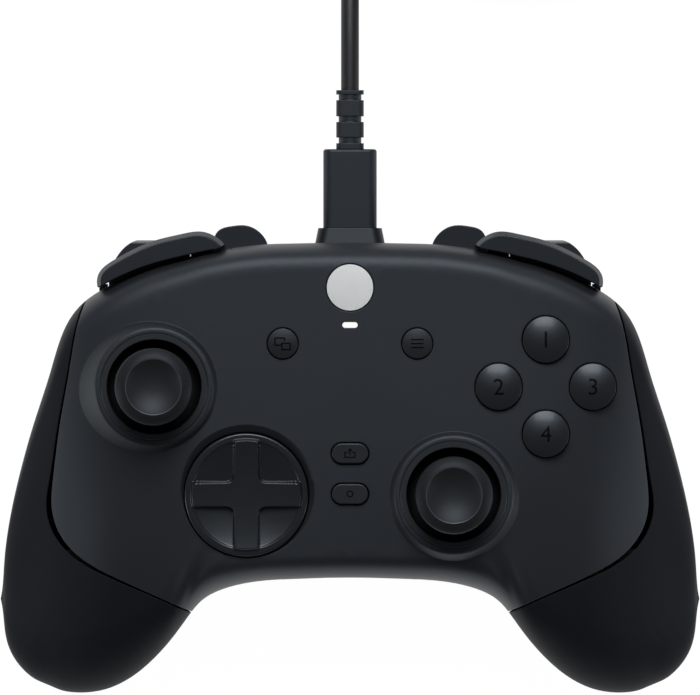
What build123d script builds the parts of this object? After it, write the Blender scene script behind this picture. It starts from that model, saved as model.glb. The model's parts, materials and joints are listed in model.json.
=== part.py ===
from build123d import *
import math
import os

# Gamepad controller with a detachable cable, all sizes in millimetres.
# The face looks up (+Z), the cable leaves towards +Y and the grips point towards -Y.
# The lowest points of the grips and of the two triggers stand on z = 0.

# Overall size of the case
half_width = 80.0
half_depth = 53.5
face_height = 51.0
wall = 2.4
pad_thickness = 1.1
overrun = 30.0

# Fits shared by many pieces
seam_gap = 0.35
seam_corner_gap = 0.9
button_gap = 0.25
running_gap = 0.05
seat_gap = 0.1
moving_gap = 0.4

# Circuit board and screws
board_top = 31.5
board_thickness = 1.6
screw_radius = 1.4
screw_head_radius = 2.6
screw_head_height = 1.8
screw_well = 3.0
thread_grip = 6.0
screw_post_radius = 3.6
screw_boss_radius = 3.0
frame_screw_place = (29.0, 29.0)
board_screw_place = (8.0, 20.0)
grip_screw_place = (56.0, -37.0)
grip_boss_low = 21.2
board_half_width = 58.5
board_wing_half = 50.0
board_side_y = 24.0
board_shelf_half = 38.0
board_neck_half = 32.0
board_tongue_half = 9.0
board_low_y = -19.8
board_wing_y = 31.0
board_shelf_y = 26.0
board_neck_y = 34.0
board_tongue_y = 43.0

# Thumb sticks
left_stick_place = (-44.4, 16.8)
right_stick_place = (23.5, -7.7)
stick_pivot_rise = 5.0
stick_cap_radius = 8.75
stick_cap_rise = 28.0
stick_cap_thickness = 5.5
stick_rim_chamfer = 0.8
stick_dish_radius = 6.2
stick_dish_depth = 1.6
stick_neck_radius = 3.3
stick_dome_radius = 14.0
stick_dome_thickness = 1.2
stick_dome_angle = 58.0
stick_shaft_radius = 1.9
stick_shaft_tail = 2.6
stick_shaft_rise = 24.0
module_half = 7.4
module_wall = 0.7
module_height = 10.0
module_mouth_radius = 5.9
rocker_half = 6.2
rocker_wall = 1.4
rocker_half_height = 1.5
trunnion_radius = 1.0
yoke_half_width = 3.2
yoke_half_height = 1.4
yoke_pin_radius = 0.9
yoke_tube_radius = 2.6
yoke_tube_rise = 6.5
collar_top = 52.6
collar_top_radius = 13.35
collar_base_radius = 17.4
collar_base = 46.2
collar_edge_radius = 1.0
gate_outer_radius = 12.15
gate_inner_radius = 10.7
gate_low = 46.8
gate_proud = 0.15

# Direction pad
dpad_place = (-23.5, -7.7)
dpad_radius = 13.95
dpad_rim_gap = 0.35
dpad_pivot = 50.5
dpad_rim_low = 48.8
dpad_rim_high = 51.2
dpad_arm_width = 5.9
dpad_arm_reach = 12.8
dpad_arm_top = 52.1
dpad_arm_dip = 0.8
dpad_draft_angle = 8.0
dpad_dish_depth = 1.5
dpad_ball_radius = 7.7
dpad_cup_thickness = 0.8
dpad_cup_angle = 50.0
dpad_turret_radius = 12.0
dpad_turret_top = 44.5
dpad_bevel_radius = 15.75
dpad_bevel_depth = 1.1
dpad_switch_reach = 10.2
dpad_switch_radius = 1.4
dpad_switch_top = 47.6

# Face buttons
face_button_place = (44.4, 16.8)
face_button_spacing = 10.7
face_button_radius = 5.25
face_button_rise = 1.9
face_button_dome = 0.9
face_button_travel = 1.0
small_button_travel = 0.6
view_button_place = (-15.25, 26.6)
menu_button_place = (15.25, 26.6)
small_button_radius = 3.4
small_button_rise = 0.9
small_button_dome = 0.3
home_button_place = (0.0, 39.3)
home_button_rise = 0.5
home_button_dome = 0.4
share_button_place = (0.0, 1.7)
profile_button_place = (0.0, -7.5)
pill_length = 8.3
pill_width = 4.6
guide_low = 44.2
guide_wall = 1.1
button_flange = 1.0
flange_thickness = 1.0
plunger_radius = 1.8
switch_half = 2.6
switch_height = 3.6
switch_nub_radius = 1.2
switch_nub_height = 0.7
switch_slack = 0.2

# Status light
light_place = (0.0, 30.8)
light_length = 3.5
light_width = 1.3
light_low = 46.0
light_proud = 0.05

# Bumpers and claw buttons
bumper_low = 34.9
bumper_high = 46.4
bumper_edge_radius = 1.8
bumper_pivot = (29.4, 42.4)
bumper_eye_radius = 2.2
bumper_pin_radius = 1.0
bumper_pin_tail = 0.5
bumper_arm_low = 38.5
bumper_arm_high = 43.0
bumper_arm_half = 1.8
bumper_outer_shares = (
    (0.7175, 0.738), (0.7125, 0.798), (0.664, 0.858), (0.551, 0.9365),
    (0.4775, 0.963), (0.4175, 0.972), (0.384, 0.953), (0.356, 0.916),
)
bumper_inner_shares = (
    (0.375, 0.900), (0.431, 0.885), (0.475, 0.870), (0.525, 0.852),
    (0.575, 0.830), (0.625, 0.802), (0.675, 0.7675), (0.7150, 0.736),
)
bumper_shelf_y = (45.0, 49.0)
bumper_end_shelf_y = (37.0, 40.2)
bumper_shelf_low = 30.0
bumper_end_shelf_top = 32.5
claw_low = 27.2
claw_high = 33.9
claw_outer_shares = (
    (0.386, 0.953), (0.371, 0.983), (0.3375, 0.998), (0.291, 0.999), (0.2625, 0.978), (0.236, 0.925),
)
claw_back = 38.9
claw_flange_thickness = 1.4
claw_flange_side = 1.0
claw_travel = 0.9
claw_guide_low = 25.0
claw_guide_high = 33.0

# Triggers
trigger_hinge = (33.0, 36.6)
trigger_reach = 17.2
trigger_inner_x = 36.5
trigger_outer_x = 55.0
trigger_side_gap = 0.7
trigger_corner_cut = 5.6
trigger_bay_y = 31.0
trigger_bay_top = 34.5
trigger_barrel_radius = 2.7
trigger_pin_radius = 1.5
trigger_skin = 2.2
trigger_spring_room = 5.0
trigger_spring_radius = 2.3
trigger_spring_wire = 0.6
trigger_spring_pitch = 1.1
trigger_spring_turns = 3.5
trigger_front_shares = (
    (0.965, 0.923), (1.0, 0.833), (0.924, 0.60), (0.808, 0.355), (0.79, 0.164), (0.85, 0.033), (0.78, 0.0),
)
trigger_rear_shares = (
    (0.78, 0.0), (0.674, 0.041), (0.57, 0.219), (0.494, 0.492), (0.378, 0.738), (0.11, 0.94),
)
trigger_top_shares = ((0.11, 1.05), (0.407, 0.923))
trigger_plan_shares = ((0.57, 0.9420), (0.629, 0.923), (0.666, 0.864), (0.6875, 0.776))
ear_thickness = 1.2
ear_gap = 0.4
frame_bar_low = 24.5
frame_bar_high = 28.0
frame_bar_back = 27.2
frame_bar_front = 31.0

# Buttons and trigger stops at the rear
rear_upper_place = (23.5, 12.5)
rear_lower_place = (28.0, -9.5)
rear_button_length = 16.0
rear_button_width = 7.0
rear_button_angle = 12.0
rear_button_proud = 1.6
rear_guide_high = 21.8
rear_button_travel = 0.8
stop_place = (45.0, 21.5)
stop_travel = 4.0
stop_knob_length = 5.5
stop_knob_width = 3.0
stop_recess = 1.5
stop_floor = 3.4
stop_plate_thickness = 1.2
stop_margin = 1.3

# Vibration motors
motor_place = (60.0, -13.0)
motor_height = 22.0
motor_radius = 6.0
motor_half_length = 6.0
motor_shaft_radius = 1.0
weight_radius = 7.2
weight_length = 6.0
weight_gap = 1.5
cradle_half_length = 4.0

# Sockets
port_height = 31.0
port_width = 16.0
port_depth = 9.6
port_end_width = 14.5
port_end_depth = 8.6
port_corner = 2.8
port_end = 52.95
port_shoulder = 49.2
port_inner_end = 44.4
plug_nose_width = 11.0
plug_nose_depth = 5.6
plug_nose_corner = 2.4
plug_nose_end = 45.4
plug_shell_width = 8.25
plug_shell_depth = 2.4
plug_shell_wall = 0.35
plug_shell_end = 38.8
receptacle_wall = 0.3
receptacle_back = 36.2
jack_height = 34.9
jack_half_width = 3.7
jack_mouth = -25.9
jack_shoulder = -22.0
jack_back = -11.0
jack_barrel_radius = 3.0
jack_bore_radius = 1.8
jack_bore_length = 13.0

# Plug and strain relief of the cable
plug_width = 12.2
plug_depth = 7.4
plug_corner = 2.0
plug_end = 70.95
cable_radius = 2.05
relief_end = 84.4
relief_core_radius = 2.6
relief_rib_width = 6.3
relief_rib_depth = 5.4
relief_rib_corner = 1.2
plug_edge_radius = 0.6
relief_rib_shares = ((0.0, 0.10), (0.20, 0.46), (0.56, 0.83), (0.93, 1.0))

# Cable coil
coil_side = 38.0
coil_middle = 147.5
coil_lift = 0.75
coil_spacing = 4.55
coil_half_turns_in = 8
tail_length = 24.0
strap_thickness = 0.6
strap_gap = 0.35
strap_width = 10.0
plug_a_width = 16.0
plug_a_depth = 6.4
plug_a_length = 26.0
plug_a_corner = 2.0
plug_a_shell_width = 12.0
plug_a_shell_depth = 4.5
plug_a_shell_length = 18.5
plug_a_shell_wall = 0.4
plug_a_collar_length = 9.0
plug_a_collar_wall = 0.4
lead_run_share = 0.45
cable_lead_points = ((0.0, 84.4, 31.0), (0.0, 104.0, 31.0), (0.0, 128.5, 16.45), (0.0, 147.5, 16.45))

# Cross-sections of the case, from the middle to a grip's end. Each row holds, as shares of half_width,
# half_depth and face_height: the section's x; the y of its upper and lower end; the z of the same two;
# the height of the face by the upper end; the place, height and slope where the face starts to roll
# over; the place and height of the lowest point at the rear.
section_shares = (
    (0.000, 0.927, -0.499, 0.716, 0.765, 1.000, -0.402, 0.984, 0.06, 0.093, 0.333),
    (0.225, 0.921, -0.510, 0.716, 0.745, 1.000, -0.411, 0.982, 0.07, 0.075, 0.304),
    (0.375, 0.895, -0.553, 0.706, 0.696, 0.998, -0.439, 0.974, 0.10, 0.000, 0.245),
    (0.475, 0.860, -0.695, 0.696, 0.588, 0.994, -0.495, 0.939, 0.20, -0.150, 0.157),
    (0.575, 0.819, -0.871, 0.686, 0.471, 0.984, -0.589, 0.865, 0.32, -0.318, 0.078),
    (0.675, 0.753, -0.970, 0.667, 0.392, 0.965, -0.673, 0.794, 0.36, -0.449, 0.024),
    (0.750, 0.684, -0.998, 0.637, 0.363, 0.933, -0.720, 0.733, 0.33, -0.523, 0.000),
    (0.800, 0.602, -0.996, 0.618, 0.353, 0.896, -0.729, 0.690, 0.31, -0.551, 0.006),
    (0.850, 0.396, -0.974, 0.588, 0.353, 0.835, -0.729, 0.643, 0.28, -0.570, 0.031),
    (0.900, 0.168, -0.942, 0.549, 0.363, 0.757, -0.720, 0.594, 0.22, -0.589, 0.082),
    (0.950, -0.099, -0.875, 0.506, 0.384, 0.659, -0.701, 0.541, 0.15, -0.598, 0.169),
    (0.980, -0.318, -0.791, 0.475, 0.406, 0.573, -0.669, 0.506, 0.10, -0.598, 0.267),
    (0.995, -0.486, -0.692, 0.451, 0.424, 0.494, -0.628, 0.475, 0.05, -0.594, 0.359),
)
grip_end_shares = (1.0, -0.594, 0.435)
loft_place_shares = (
    0.0, 0.08, 0.16, 0.24, 0.32, 0.40, 0.475, 0.55, 0.625, 0.70, 0.76, 0.81, 0.855, 0.90, 0.94, 0.97, 0.988,
)
shoulder_place_share = 0.08
shoulder_tightness_share = 0.75
roll_tightness_share = 0.60
rear_tightness_share = 0.55
rear_rise_share = 0.45
third_share = 1 / 3


def steady_slope(places, values, index):
    """The slope of a curve through the values that never swings past them."""
    if index in (0, len(places) - 1):
        return 0.0
    before = (values[index] - values[index - 1]) / (places[index] - places[index - 1])
    after = (values[index + 1] - values[index]) / (places[index + 1] - places[index])
    if before * after <= 0:
        return 0.0
    return 2 * before * after / (before + after)


def row_at(place):
    """The section row at any share of half_width, read smoothly from the table."""
    places = [row[0] for row in section_shares]
    after = next((i for i, value in enumerate(places) if value >= place), len(places) - 1)
    after = max(after, 1)
    span = places[after] - places[after - 1]
    share = (place - places[after - 1]) / span
    row = [place]
    for column in range(1, len(section_shares[0])):
        values = [entry[column] for entry in section_shares]
        leave = steady_slope(places, values, after - 1) * span
        reach = steady_slope(places, values, after) * span
        start = values[after - 1]
        rise = values[after] - start
        row.append(
            start + leave * share
            + (3 * rise - 2 * leave - reach) * share ** 2
            + (leave + reach - 2 * rise) * share ** 3
        )
    return row


def between(start, end, share):
    return tuple(a + share * (b - a) for a, b in zip(start, end))


def case_section(row, side, inset):
    x_share, top_y, bottom_y, top_z, bottom_z, face, roll_y, roll_z, slope, low_y, low_z = row
    top = (top_y * half_depth - inset, top_z * face_height)
    bottom = (bottom_y * half_depth + inset, bottom_z * face_height)
    face_z = face * face_height - inset
    length = top[0] - bottom[0]
    shoulder = (top[0] - shoulder_place_share * length, face_z)
    shoulder_corner = (top[0], face_z)
    roll = (roll_y * half_depth, roll_z * face_height - inset)
    face_third = (shoulder[0] - roll[0]) * third_share
    roll_corner = (bottom[0], roll[1] - slope * (roll[0] - bottom[0]))
    low = (low_y * half_depth, low_z * face_height + inset)
    low_corner = (bottom[0], low[1])
    rise_corner = (top[0], low[1])
    with BuildSketch(Plane.YZ.offset(side * x_share * (half_width - inset))) as section:
        with BuildLine():
            Bezier(top, between(top, shoulder_corner, shoulder_tightness_share),
                   between(shoulder, shoulder_corner, shoulder_tightness_share), shoulder)
            Bezier(shoulder, (shoulder[0] - face_third, face_z),
                   (roll[0] + face_third, roll[1] + slope * face_third), roll)
            Bezier(roll, between(roll, roll_corner, roll_tightness_share),
                   between(bottom, roll_corner, roll_tightness_share), bottom)
            Bezier(bottom, between(bottom, low_corner, rear_tightness_share),
                   between(low, low_corner, rear_tightness_share), low)
            Bezier(low, between(low, rise_corner, rear_tightness_share),
                   between(top, rise_corner, rear_rise_share), top)
        make_face()
    return section.sketch.faces()[0]


def case_form(inset, places):
    rows = [row_at(place) for place in places]
    end_x, end_y, end_z = grip_end_shares
    ends = [
        Vertex(side * end_x * (half_width - inset), end_y * half_depth, end_z * face_height)
        for side in (-1, 1)
    ]
    left = [case_section(row, -1, inset) for row in reversed(rows[1:])]
    right = [case_section(row, 1, inset) for row in rows]
    with BuildPart() as form:
        loft(sections=[ends[0], *left, *right, ends[1]])
    return form.part


outer_form = case_form(0, loft_place_shares)
pad_form = case_form(pad_thickness, loft_place_shares)
inner_form = case_form(wall, loft_place_shares)

# The seam between the face plate and the grips, on the left, as shares of half_width and half_depth,
# and the parting line between front and rear seen from the side, as shares of half_depth and face_height
seam_shares = (
    (-0.740, 0.990), (-0.7525, 0.675), (-0.769, 0.600), (-0.7975, 0.378), (-0.826, 0.138),
    (-0.844, -0.073), (-0.849, -0.187), (-0.835, -0.284), (-0.779, -0.398), (-0.689, -0.482),
    (-0.576, -0.559), (-0.449, -0.645), (-0.350, -0.720),
)
seam_opening_shares = (0, 0, 0, 0, 0.1, 0.4, 0.9, 1.0, 0.7, 0.3, 0.1, 0, 0)
parting_shares = ((1.20, 0.728), (0.90, 0.700), (0.62, 0.625), (0.0, 0.515), (-0.55, 0.425), (-1.20, 0.330))
pad_side_gap = 2.0
pad_parting_gap = 2.4


def as_points(shares, width, height, side=1):
    return [(side * a * width, b * height) for a, b in shares]


def moved_out(points, amounts):
    """The points of a line moved sideways, to the left of its direction, each by its own amount."""
    moved = []
    for index, (x, y) in enumerate(points):
        before = points[max(index - 1, 0)]
        after = points[min(index + 1, len(points) - 1)]
        run = math.dist(before, after)
        moved.append((x + (after[1] - before[1]) / run * amounts[index],
                      y - (after[0] - before[0]) / run * amounts[index]))
    return moved


def plate_zone(gaps):
    """The space under and over the face plate, with each point of its seam moved out by a gap."""
    points = moved_out(as_points(seam_shares, half_width, half_depth), gaps)
    twins = [(-x, y) for x, y in points]
    with BuildSketch() as outline:
        with BuildLine():
            Spline(*points)
            Spline(*twins)
            Line(points[0], twins[0])
            Line(points[-1], twins[-1])
        make_face()
    return extrude(outline.sketch, amount=face_height + overrun, mode=Mode.PRIVATE)


def side_zone(shift, upper):
    """All that lies above, or below, the parting line between front and rear, moved by a gap."""
    points = [(y, z + shift) for y, z in as_points(parting_shares, half_depth, face_height)]
    far = face_height + overrun if upper else -overrun
    with BuildSketch(Plane.YZ.offset(-half_width - overrun)) as outline:
        with BuildLine():
            Spline(*points)
            Polyline(points[-1], (points[-1][0], far), (points[0][0], far), points[0])
        make_face()
    return extrude(outline.sketch, amount=2 * (half_width + overrun), mode=Mode.PRIVATE)


def surface_heights(place):
    """The lowest and highest z of the case's surface at a place in plan."""
    hits = outer_form.find_intersection_points(Axis((*place, 0), (0, 0, 1)))
    heights = [point.Z for point, _ in hits]
    return min(heights), max(heights)


def disc(place, radius, low, high, mode=Mode.ADD):
    with BuildSketch(Plane.XY.offset(low)) as outline:
        with Locations(place):
            Circle(radius)
    extrude(outline.sketch, amount=high - low, mode=mode)


def pill(place, length, width, low, high, mode=Mode.ADD, turn=0):
    with BuildSketch(Plane.XY.offset(low)) as outline:
        with Locations(Location((*place, 0), (0, 0, turn))):
            SlotOverall(length, width)
    extrude(outline.sketch, amount=high - low, mode=mode)


def block(x_span, y_span, z_span, mode=Mode.ADD):
    with BuildSketch(Plane.XY.offset(z_span[0])) as outline:
        with Locations(((x_span[0] + x_span[1]) / 2, (y_span[0] + y_span[1]) / 2)):
            Rectangle(x_span[1] - x_span[0], y_span[1] - y_span[0])
    extrude(outline.sketch, amount=z_span[1] - z_span[0], mode=mode)


def rod_along_x(center_yz, radius, x_low, x_high, mode=Mode.ADD):
    with BuildSketch(Plane.YZ.offset(x_low)) as outline:
        with Locations(center_yz):
            Circle(radius)
    extrude(outline.sketch, amount=x_high - x_low, mode=mode)


def rod_along_y(center_xz, radius, y_low, y_high, mode=Mode.ADD):
    with BuildSketch(Plane.XZ.offset(-y_high)) as outline:
        with Locations(center_xz):
            Circle(radius)
    extrude(outline.sketch, amount=y_high - y_low, mode=mode)


def slab_along_y(center_xz, width, depth, corner, y_low, y_high, mode=Mode.ADD):
    with BuildSketch(Plane.XZ.offset(-y_high)) as outline:
        with Locations(center_xz):
            RectangleRounded(width, depth, corner)
    extrude(outline.sketch, amount=y_high - y_low, mode=mode)


def keep(piece, name):
    piece.label = name
    export_step(piece, f"parts/{name}.step")
    print(name, "solids", len(piece.solids()), "volume", round(piece.volume, 1), "valid", piece.is_valid)


def mirrored(piece):
    """The left twin of a right-hand piece."""
    return mirror(piece, about=Plane.YZ, mode=Mode.PRIVATE)


def keep_pair(piece, name):
    keep(mirrored(piece), f"left_{name}")
    keep(piece, f"right_{name}")


os.makedirs("parts", exist_ok=True)
sides = ((-1, "left"), (1, "right"))
board_low = board_top - board_thickness
stick_pivot = board_top + stick_pivot_rise
dpad_opening = dpad_radius + dpad_rim_gap
pivot_x, pivot_y = bumper_pivot
frame_x, frame_y = frame_screw_place
board_x, board_y = board_screw_place
grip_x, grip_y = grip_screw_place
motor_x, motor_y = motor_place
stop_x, stop_y = stop_place
frame_boss_low = frame_bar_high + seat_gap
board_boss_low = board_top + seat_gap
guide_margin = button_gap + guide_wall

# Round buttons on the face: name, place, radius, rise over the face, height of the dome, travel
face_x, face_y = face_button_place
round_buttons = [
    (f"{word}_face_button", (face_x + dx * face_button_spacing, face_y + dy * face_button_spacing),
     face_button_radius, face_button_rise, face_button_dome, face_button_travel)
    for word, dx, dy in (("top", 0, 1), ("left", -1, 0), ("right", 1, 0), ("bottom", 0, -1))
]
round_buttons += [
    ("view_button", view_button_place, small_button_radius, small_button_rise, small_button_dome,
     small_button_travel),
    ("menu_button", menu_button_place, small_button_radius, small_button_rise, small_button_dome,
     small_button_travel),
    ("home_button", home_button_place, face_button_radius, home_button_rise, home_button_dome,
     small_button_travel),
]
pill_buttons = (("share_button", share_button_place), ("profile_button", profile_button_place))
stick_places = (left_stick_place, right_stick_place)
rear_buttons = [
    (f"{level}_rear_button", (x, y)) for level, (x, y) in
    (("upper", rear_upper_place), ("lower", rear_lower_place))
]
screw_places = [
    ((frame_x, frame_y), frame_boss_low),
    ((board_x, board_y), board_boss_low),
    ((grip_x, grip_y), grip_boss_low),
]
screw_seats = [surface_heights(place)[0] + screw_well for place, _ in screw_places]
stop_surface = surface_heights(stop_place)[0]
stop_ceiling = stop_surface + stop_recess + stop_floor
claw_points = as_points(claw_outer_shares, half_width, half_depth)


def claw_prism(grow, back, low, high):
    """The right claw button's plan outline, carried back into the case and grown by a gap."""
    inner_x, outer_x = claw_points[-1][0] - grow, claw_points[0][0] + grow
    front = [(outer_x, claw_points[0][1])]
    front += [(x, y + grow) for x, y in claw_points[1:-1]]
    front += [(inner_x, claw_points[-1][1])]
    with BuildSketch(Plane.XY.offset(low)) as outline:
        with BuildLine():
            Polyline(front[0], (outer_x, back), (inner_x, back), front[-1])
            Spline(*front)
        make_face()
    return extrude(outline.sketch, amount=high - low, mode=Mode.PRIVATE)


front_zone = side_zone(seam_gap, upper=True)
right_outer = split(outer_form, bisect_by=Plane.YZ, keep=Keep.TOP, mode=Mode.PRIVATE)
right_inner = split(inner_form, bisect_by=Plane.YZ, keep=Keep.TOP, mode=Mode.PRIVATE)
trigger_bay_x = (trigger_inner_x - trigger_side_gap, trigger_outer_x + trigger_side_gap)

# Front cover: the face plate with its stick collars, button guides and screw bosses
with BuildPart() as front_space:
    add(front_zone)
    add(plate_zone([0] * len(seam_shares)), mode=Mode.INTERSECT)

with BuildPart() as front_bosses:
    for _, place, radius, _, _, _ in round_buttons:
        disc(place, radius + guide_margin, guide_low, face_height + overrun)
    for _, place in pill_buttons:
        pill(place, pill_length + 2 * guide_margin, pill_width + 2 * guide_margin, guide_low,
             face_height + overrun)
    disc(light_place, light_length / 2 + guide_wall, light_low + guide_wall, face_height + overrun)
    for side, _ in sides:
        disc((side * pivot_x, pivot_y), bumper_eye_radius, bumper_arm_high + moving_gap,
             face_height + overrun)
        disc((side * frame_x, frame_y), screw_boss_radius, frame_boss_low, face_height + overrun)
        disc((side * board_x, board_y), screw_boss_radius, board_boss_low, face_height + overrun)

with BuildPart() as front_hollow:
    add(inner_form)
    add(front_bosses.part, mode=Mode.SUBTRACT)

with BuildPart() as face_holes:
    for place in stick_places:
        disc(place, gate_outer_radius + running_gap, stick_pivot, face_height + overrun)
    disc(dpad_place, dpad_opening, stick_pivot, face_height + overrun)
    with BuildSketch(Plane.XY.offset(face_height - dpad_bevel_depth)) as bevel_foot:
        with Locations(dpad_place):
            Circle(dpad_opening)
    with BuildSketch(Plane.XY.offset(face_height + dpad_bevel_depth)) as bevel_head:
        with Locations(dpad_place):
            Circle(2 * dpad_bevel_radius - dpad_opening)
    loft(sections=[bevel_foot.sketch, bevel_head.sketch])
    for _, place, radius, _, _, _ in round_buttons:
        disc(place, radius + button_gap, guide_low - overrun, face_height + overrun)
        disc(place, radius + button_flange + button_gap, guide_low - overrun, guide_low)
    for _, place in pill_buttons:
        pill(place, pill_length + 2 * button_gap, pill_width + 2 * button_gap, guide_low,
             face_height + overrun)
    pill(light_place, light_length + 2 * running_gap, light_width + 2 * running_gap, stick_pivot,
         face_height + overrun)
    arm_clear = bumper_arm_half + 2 * moving_gap
    for side, _ in sides:
        disc((side * pivot_x, pivot_y), bumper_pin_radius + running_gap, stick_pivot, bumper_high)
        block((side * pivot_x - arm_clear, side * pivot_x + arm_clear), (pivot_y, half_depth + overrun),
              (bumper_arm_low - moving_gap, bumper_arm_high + moving_gap))
        block(sorted(side * x for x in trigger_bay_x), (trigger_bay_y, half_depth + overrun),
              (-overrun, trigger_bay_top))
        for (x, y), boss_low in screw_places[:2]:
            disc((side * x, y), screw_radius + running_gap, boss_low - overrun,
                 boss_low + thread_grip + seat_gap)
    rod_along_y((0, jack_height), jack_barrel_radius + seat_gap, -half_depth, jack_shoulder)

with BuildPart() as front_cover:
    add(outer_form)
    add(front_space.part, mode=Mode.INTERSECT)
    add(front_hollow.part, mode=Mode.SUBTRACT)
    for place in stick_places:
        with BuildSketch(Plane.XY.offset(collar_base)) as collar_foot:
            with Locations(place):
                Circle(collar_base_radius)
        with BuildSketch(Plane.XY.offset(collar_top)) as collar_head:
            with Locations(place):
                Circle(collar_top_radius)
        loft(sections=[collar_foot.sketch, collar_head.sketch])
    rims = front_cover.edges().filter_by(GeomType.CIRCLE).group_by(Axis.Z)[-1]
    fillet(rims, collar_edge_radius)
    add(face_holes.part, mode=Mode.SUBTRACT)
keep(front_cover.part, "front_cover")

# Grip covers: the two sides outside the seam, above the parting line
with BuildPart() as grip_space:
    add(front_zone)
    add(plate_zone([seam_gap + share * seam_corner_gap for share in seam_opening_shares]),
        mode=Mode.SUBTRACT)
    split(bisect_by=Plane.YZ, keep=Keep.TOP)
    disc(grip_screw_place, screw_boss_radius, grip_boss_low, face_height)
    disc(grip_screw_place, screw_radius + running_gap, grip_boss_low - overrun,
         grip_boss_low + thread_grip + seat_gap, mode=Mode.SUBTRACT)

with BuildPart() as grip_hollow:
    add(right_inner)
    disc(grip_screw_place, screw_boss_radius, grip_boss_low, face_height + overrun, mode=Mode.SUBTRACT)

with BuildPart() as grip_cover:
    add(right_outer)
    add(grip_space.part, mode=Mode.INTERSECT)
    add(grip_hollow.part, mode=Mode.SUBTRACT)
keep_pair(grip_cover.part, "grip_cover")

# Rubber pads let into the rear of the grips
with BuildPart() as pad_zone:
    add(side_zone(-pad_parting_gap, upper=False))
    add(plate_zone([pad_side_gap] * len(seam_shares)), mode=Mode.SUBTRACT)
    split(bisect_by=Plane.YZ, keep=Keep.TOP)
    disc(grip_screw_place, screw_head_radius + guide_wall, -overrun, face_height, mode=Mode.SUBTRACT)

with BuildPart() as rear_grip:
    add(right_outer)
    add(pad_zone.part, mode=Mode.INTERSECT)
    add(pad_form, mode=Mode.SUBTRACT)
keep_pair(rear_grip.part, "rear_grip")

# Rear cover: everything below the parting line, with its posts, guides, cradles and recesses
with BuildPart() as rear_fittings:
    disc(frame_screw_place, screw_post_radius, -overrun, frame_bar_low - seat_gap)
    disc(board_screw_place, screw_post_radius, -overrun, board_low - seat_gap)
    disc(grip_screw_place, screw_post_radius, -overrun, grip_boss_low - seat_gap - seam_gap)
    block((motor_x - motor_radius - guide_wall, motor_x + motor_radius + guide_wall),
          (motor_y - cradle_half_length, motor_y + cradle_half_length), (-overrun, motor_height))
    pill(stop_place, stop_knob_length + stop_travel + 4 * stop_margin + stop_knob_width,
         stop_knob_width + 4 * stop_margin, -overrun, stop_ceiling)
    block((claw_points[-1][0] - guide_margin, claw_points[0][0] + guide_margin),
          (claw_back + seat_gap, half_depth + overrun), (claw_guide_low, claw_guide_high))
    for _, place in rear_buttons:
        pill(place, rear_button_length + 2 * guide_margin, rear_button_width + 2 * guide_margin, -overrun,
             rear_guide_high, turn=-rear_button_angle)

with BuildPart() as rear_hollow:
    add(right_inner)
    add(rear_fittings.part, mode=Mode.SUBTRACT)

with BuildPart() as rear_space:
    add(side_zone(0, upper=False))
    split(bisect_by=Plane.YZ, keep=Keep.TOP)

with BuildPart() as rear_holes:
    for (place, _), seat in zip(screw_places, screw_seats):
        disc(place, screw_head_radius + seat_gap, -overrun, seat)
        disc(place, screw_radius + running_gap, -overrun, face_height)
    rod_along_y((motor_x, motor_height), motor_radius + running_gap, motor_y - motor_half_length - seat_gap,
                motor_y + motor_half_length + seat_gap)
    pill(stop_place, stop_knob_length + stop_travel + 2 * stop_margin + seat_gap,
         stop_knob_width + 2 * stop_margin, -overrun, stop_surface + stop_recess)
    pill(stop_place, stop_knob_length + stop_travel + 2 * button_gap,
         stop_knob_width + 2 * button_gap, -overrun, face_height)
    block(trigger_bay_x, (trigger_bay_y, half_depth + overrun), (-overrun, trigger_bay_top))
    add(claw_prism(button_gap, claw_back - claw_flange_thickness, claw_low - button_gap,
                   claw_high + button_gap))
    for _, place in rear_buttons:
        pill(place, rear_button_length + 2 * button_gap, rear_button_width + 2 * button_gap, -overrun,
             face_height, turn=-rear_button_angle)
    slab_along_y((0, port_height), port_width + 2 * seat_gap, port_depth + 2 * seat_gap, port_corner,
                 port_inner_end - 2 * wall, half_depth + overrun)

with BuildPart() as right_rear:
    add(right_outer)
    add(rear_space.part, mode=Mode.INTERSECT)
    add(rear_hollow.part, mode=Mode.SUBTRACT)
    add(rear_holes.part, mode=Mode.SUBTRACT)
    add(rear_grip.part, mode=Mode.SUBTRACT)
    block((claw_points[0][0] + moving_gap, trigger_inner_x - button_gap), bumper_shelf_y,
          (bumper_shelf_low, bumper_low - moving_gap))
    block((trigger_outer_x + button_gap, half_width * bumper_inner_shares[-1][0]), bumper_end_shelf_y,
          (bumper_shelf_low, bumper_end_shelf_top))

with BuildPart() as rear_cover:
    add(right_rear.part)
    add(mirrored(right_rear.part))
keep(rear_cover.part, "rear_cover")


def round_button(place, radius, rise, dome, travel):
    """A round button: a domed cap, a flange under its guide and a plunger down to its switch."""
    top = surface_heights(place)[1] + rise
    dome_ball = (radius ** 2 + dome ** 2) / (2 * dome)
    dome_middle = top - dome_ball + math.sqrt(dome_ball ** 2 - radius ** 2 / 4)
    flange_high = guide_low - seat_gap
    foot = board_top + switch_height + switch_nub_height + travel + switch_slack
    with BuildPart() as button:
        with BuildSketch(Plane((*place, 0), x_dir=(1, 0, 0), z_dir=(0, -1, 0))):
            with BuildLine():
                Polyline((0, foot), (plunger_radius, foot), (plunger_radius, flange_high - flange_thickness),
                         (radius + button_flange, flange_high - flange_thickness),
                         (radius + button_flange, flange_high), (radius, flange_high),
                         (radius, top - dome))
                ThreePointArc((radius, top - dome), (radius / 2, dome_middle), (0, top))
                Line((0, top), (0, foot))
            make_face()
        revolve(axis=Axis((*place, 0), (0, 0, 1)))
    return button


for name, place, radius, rise, dome, travel in round_buttons:
    keep(round_button(place, radius, rise, dome, travel).part, name)

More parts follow.
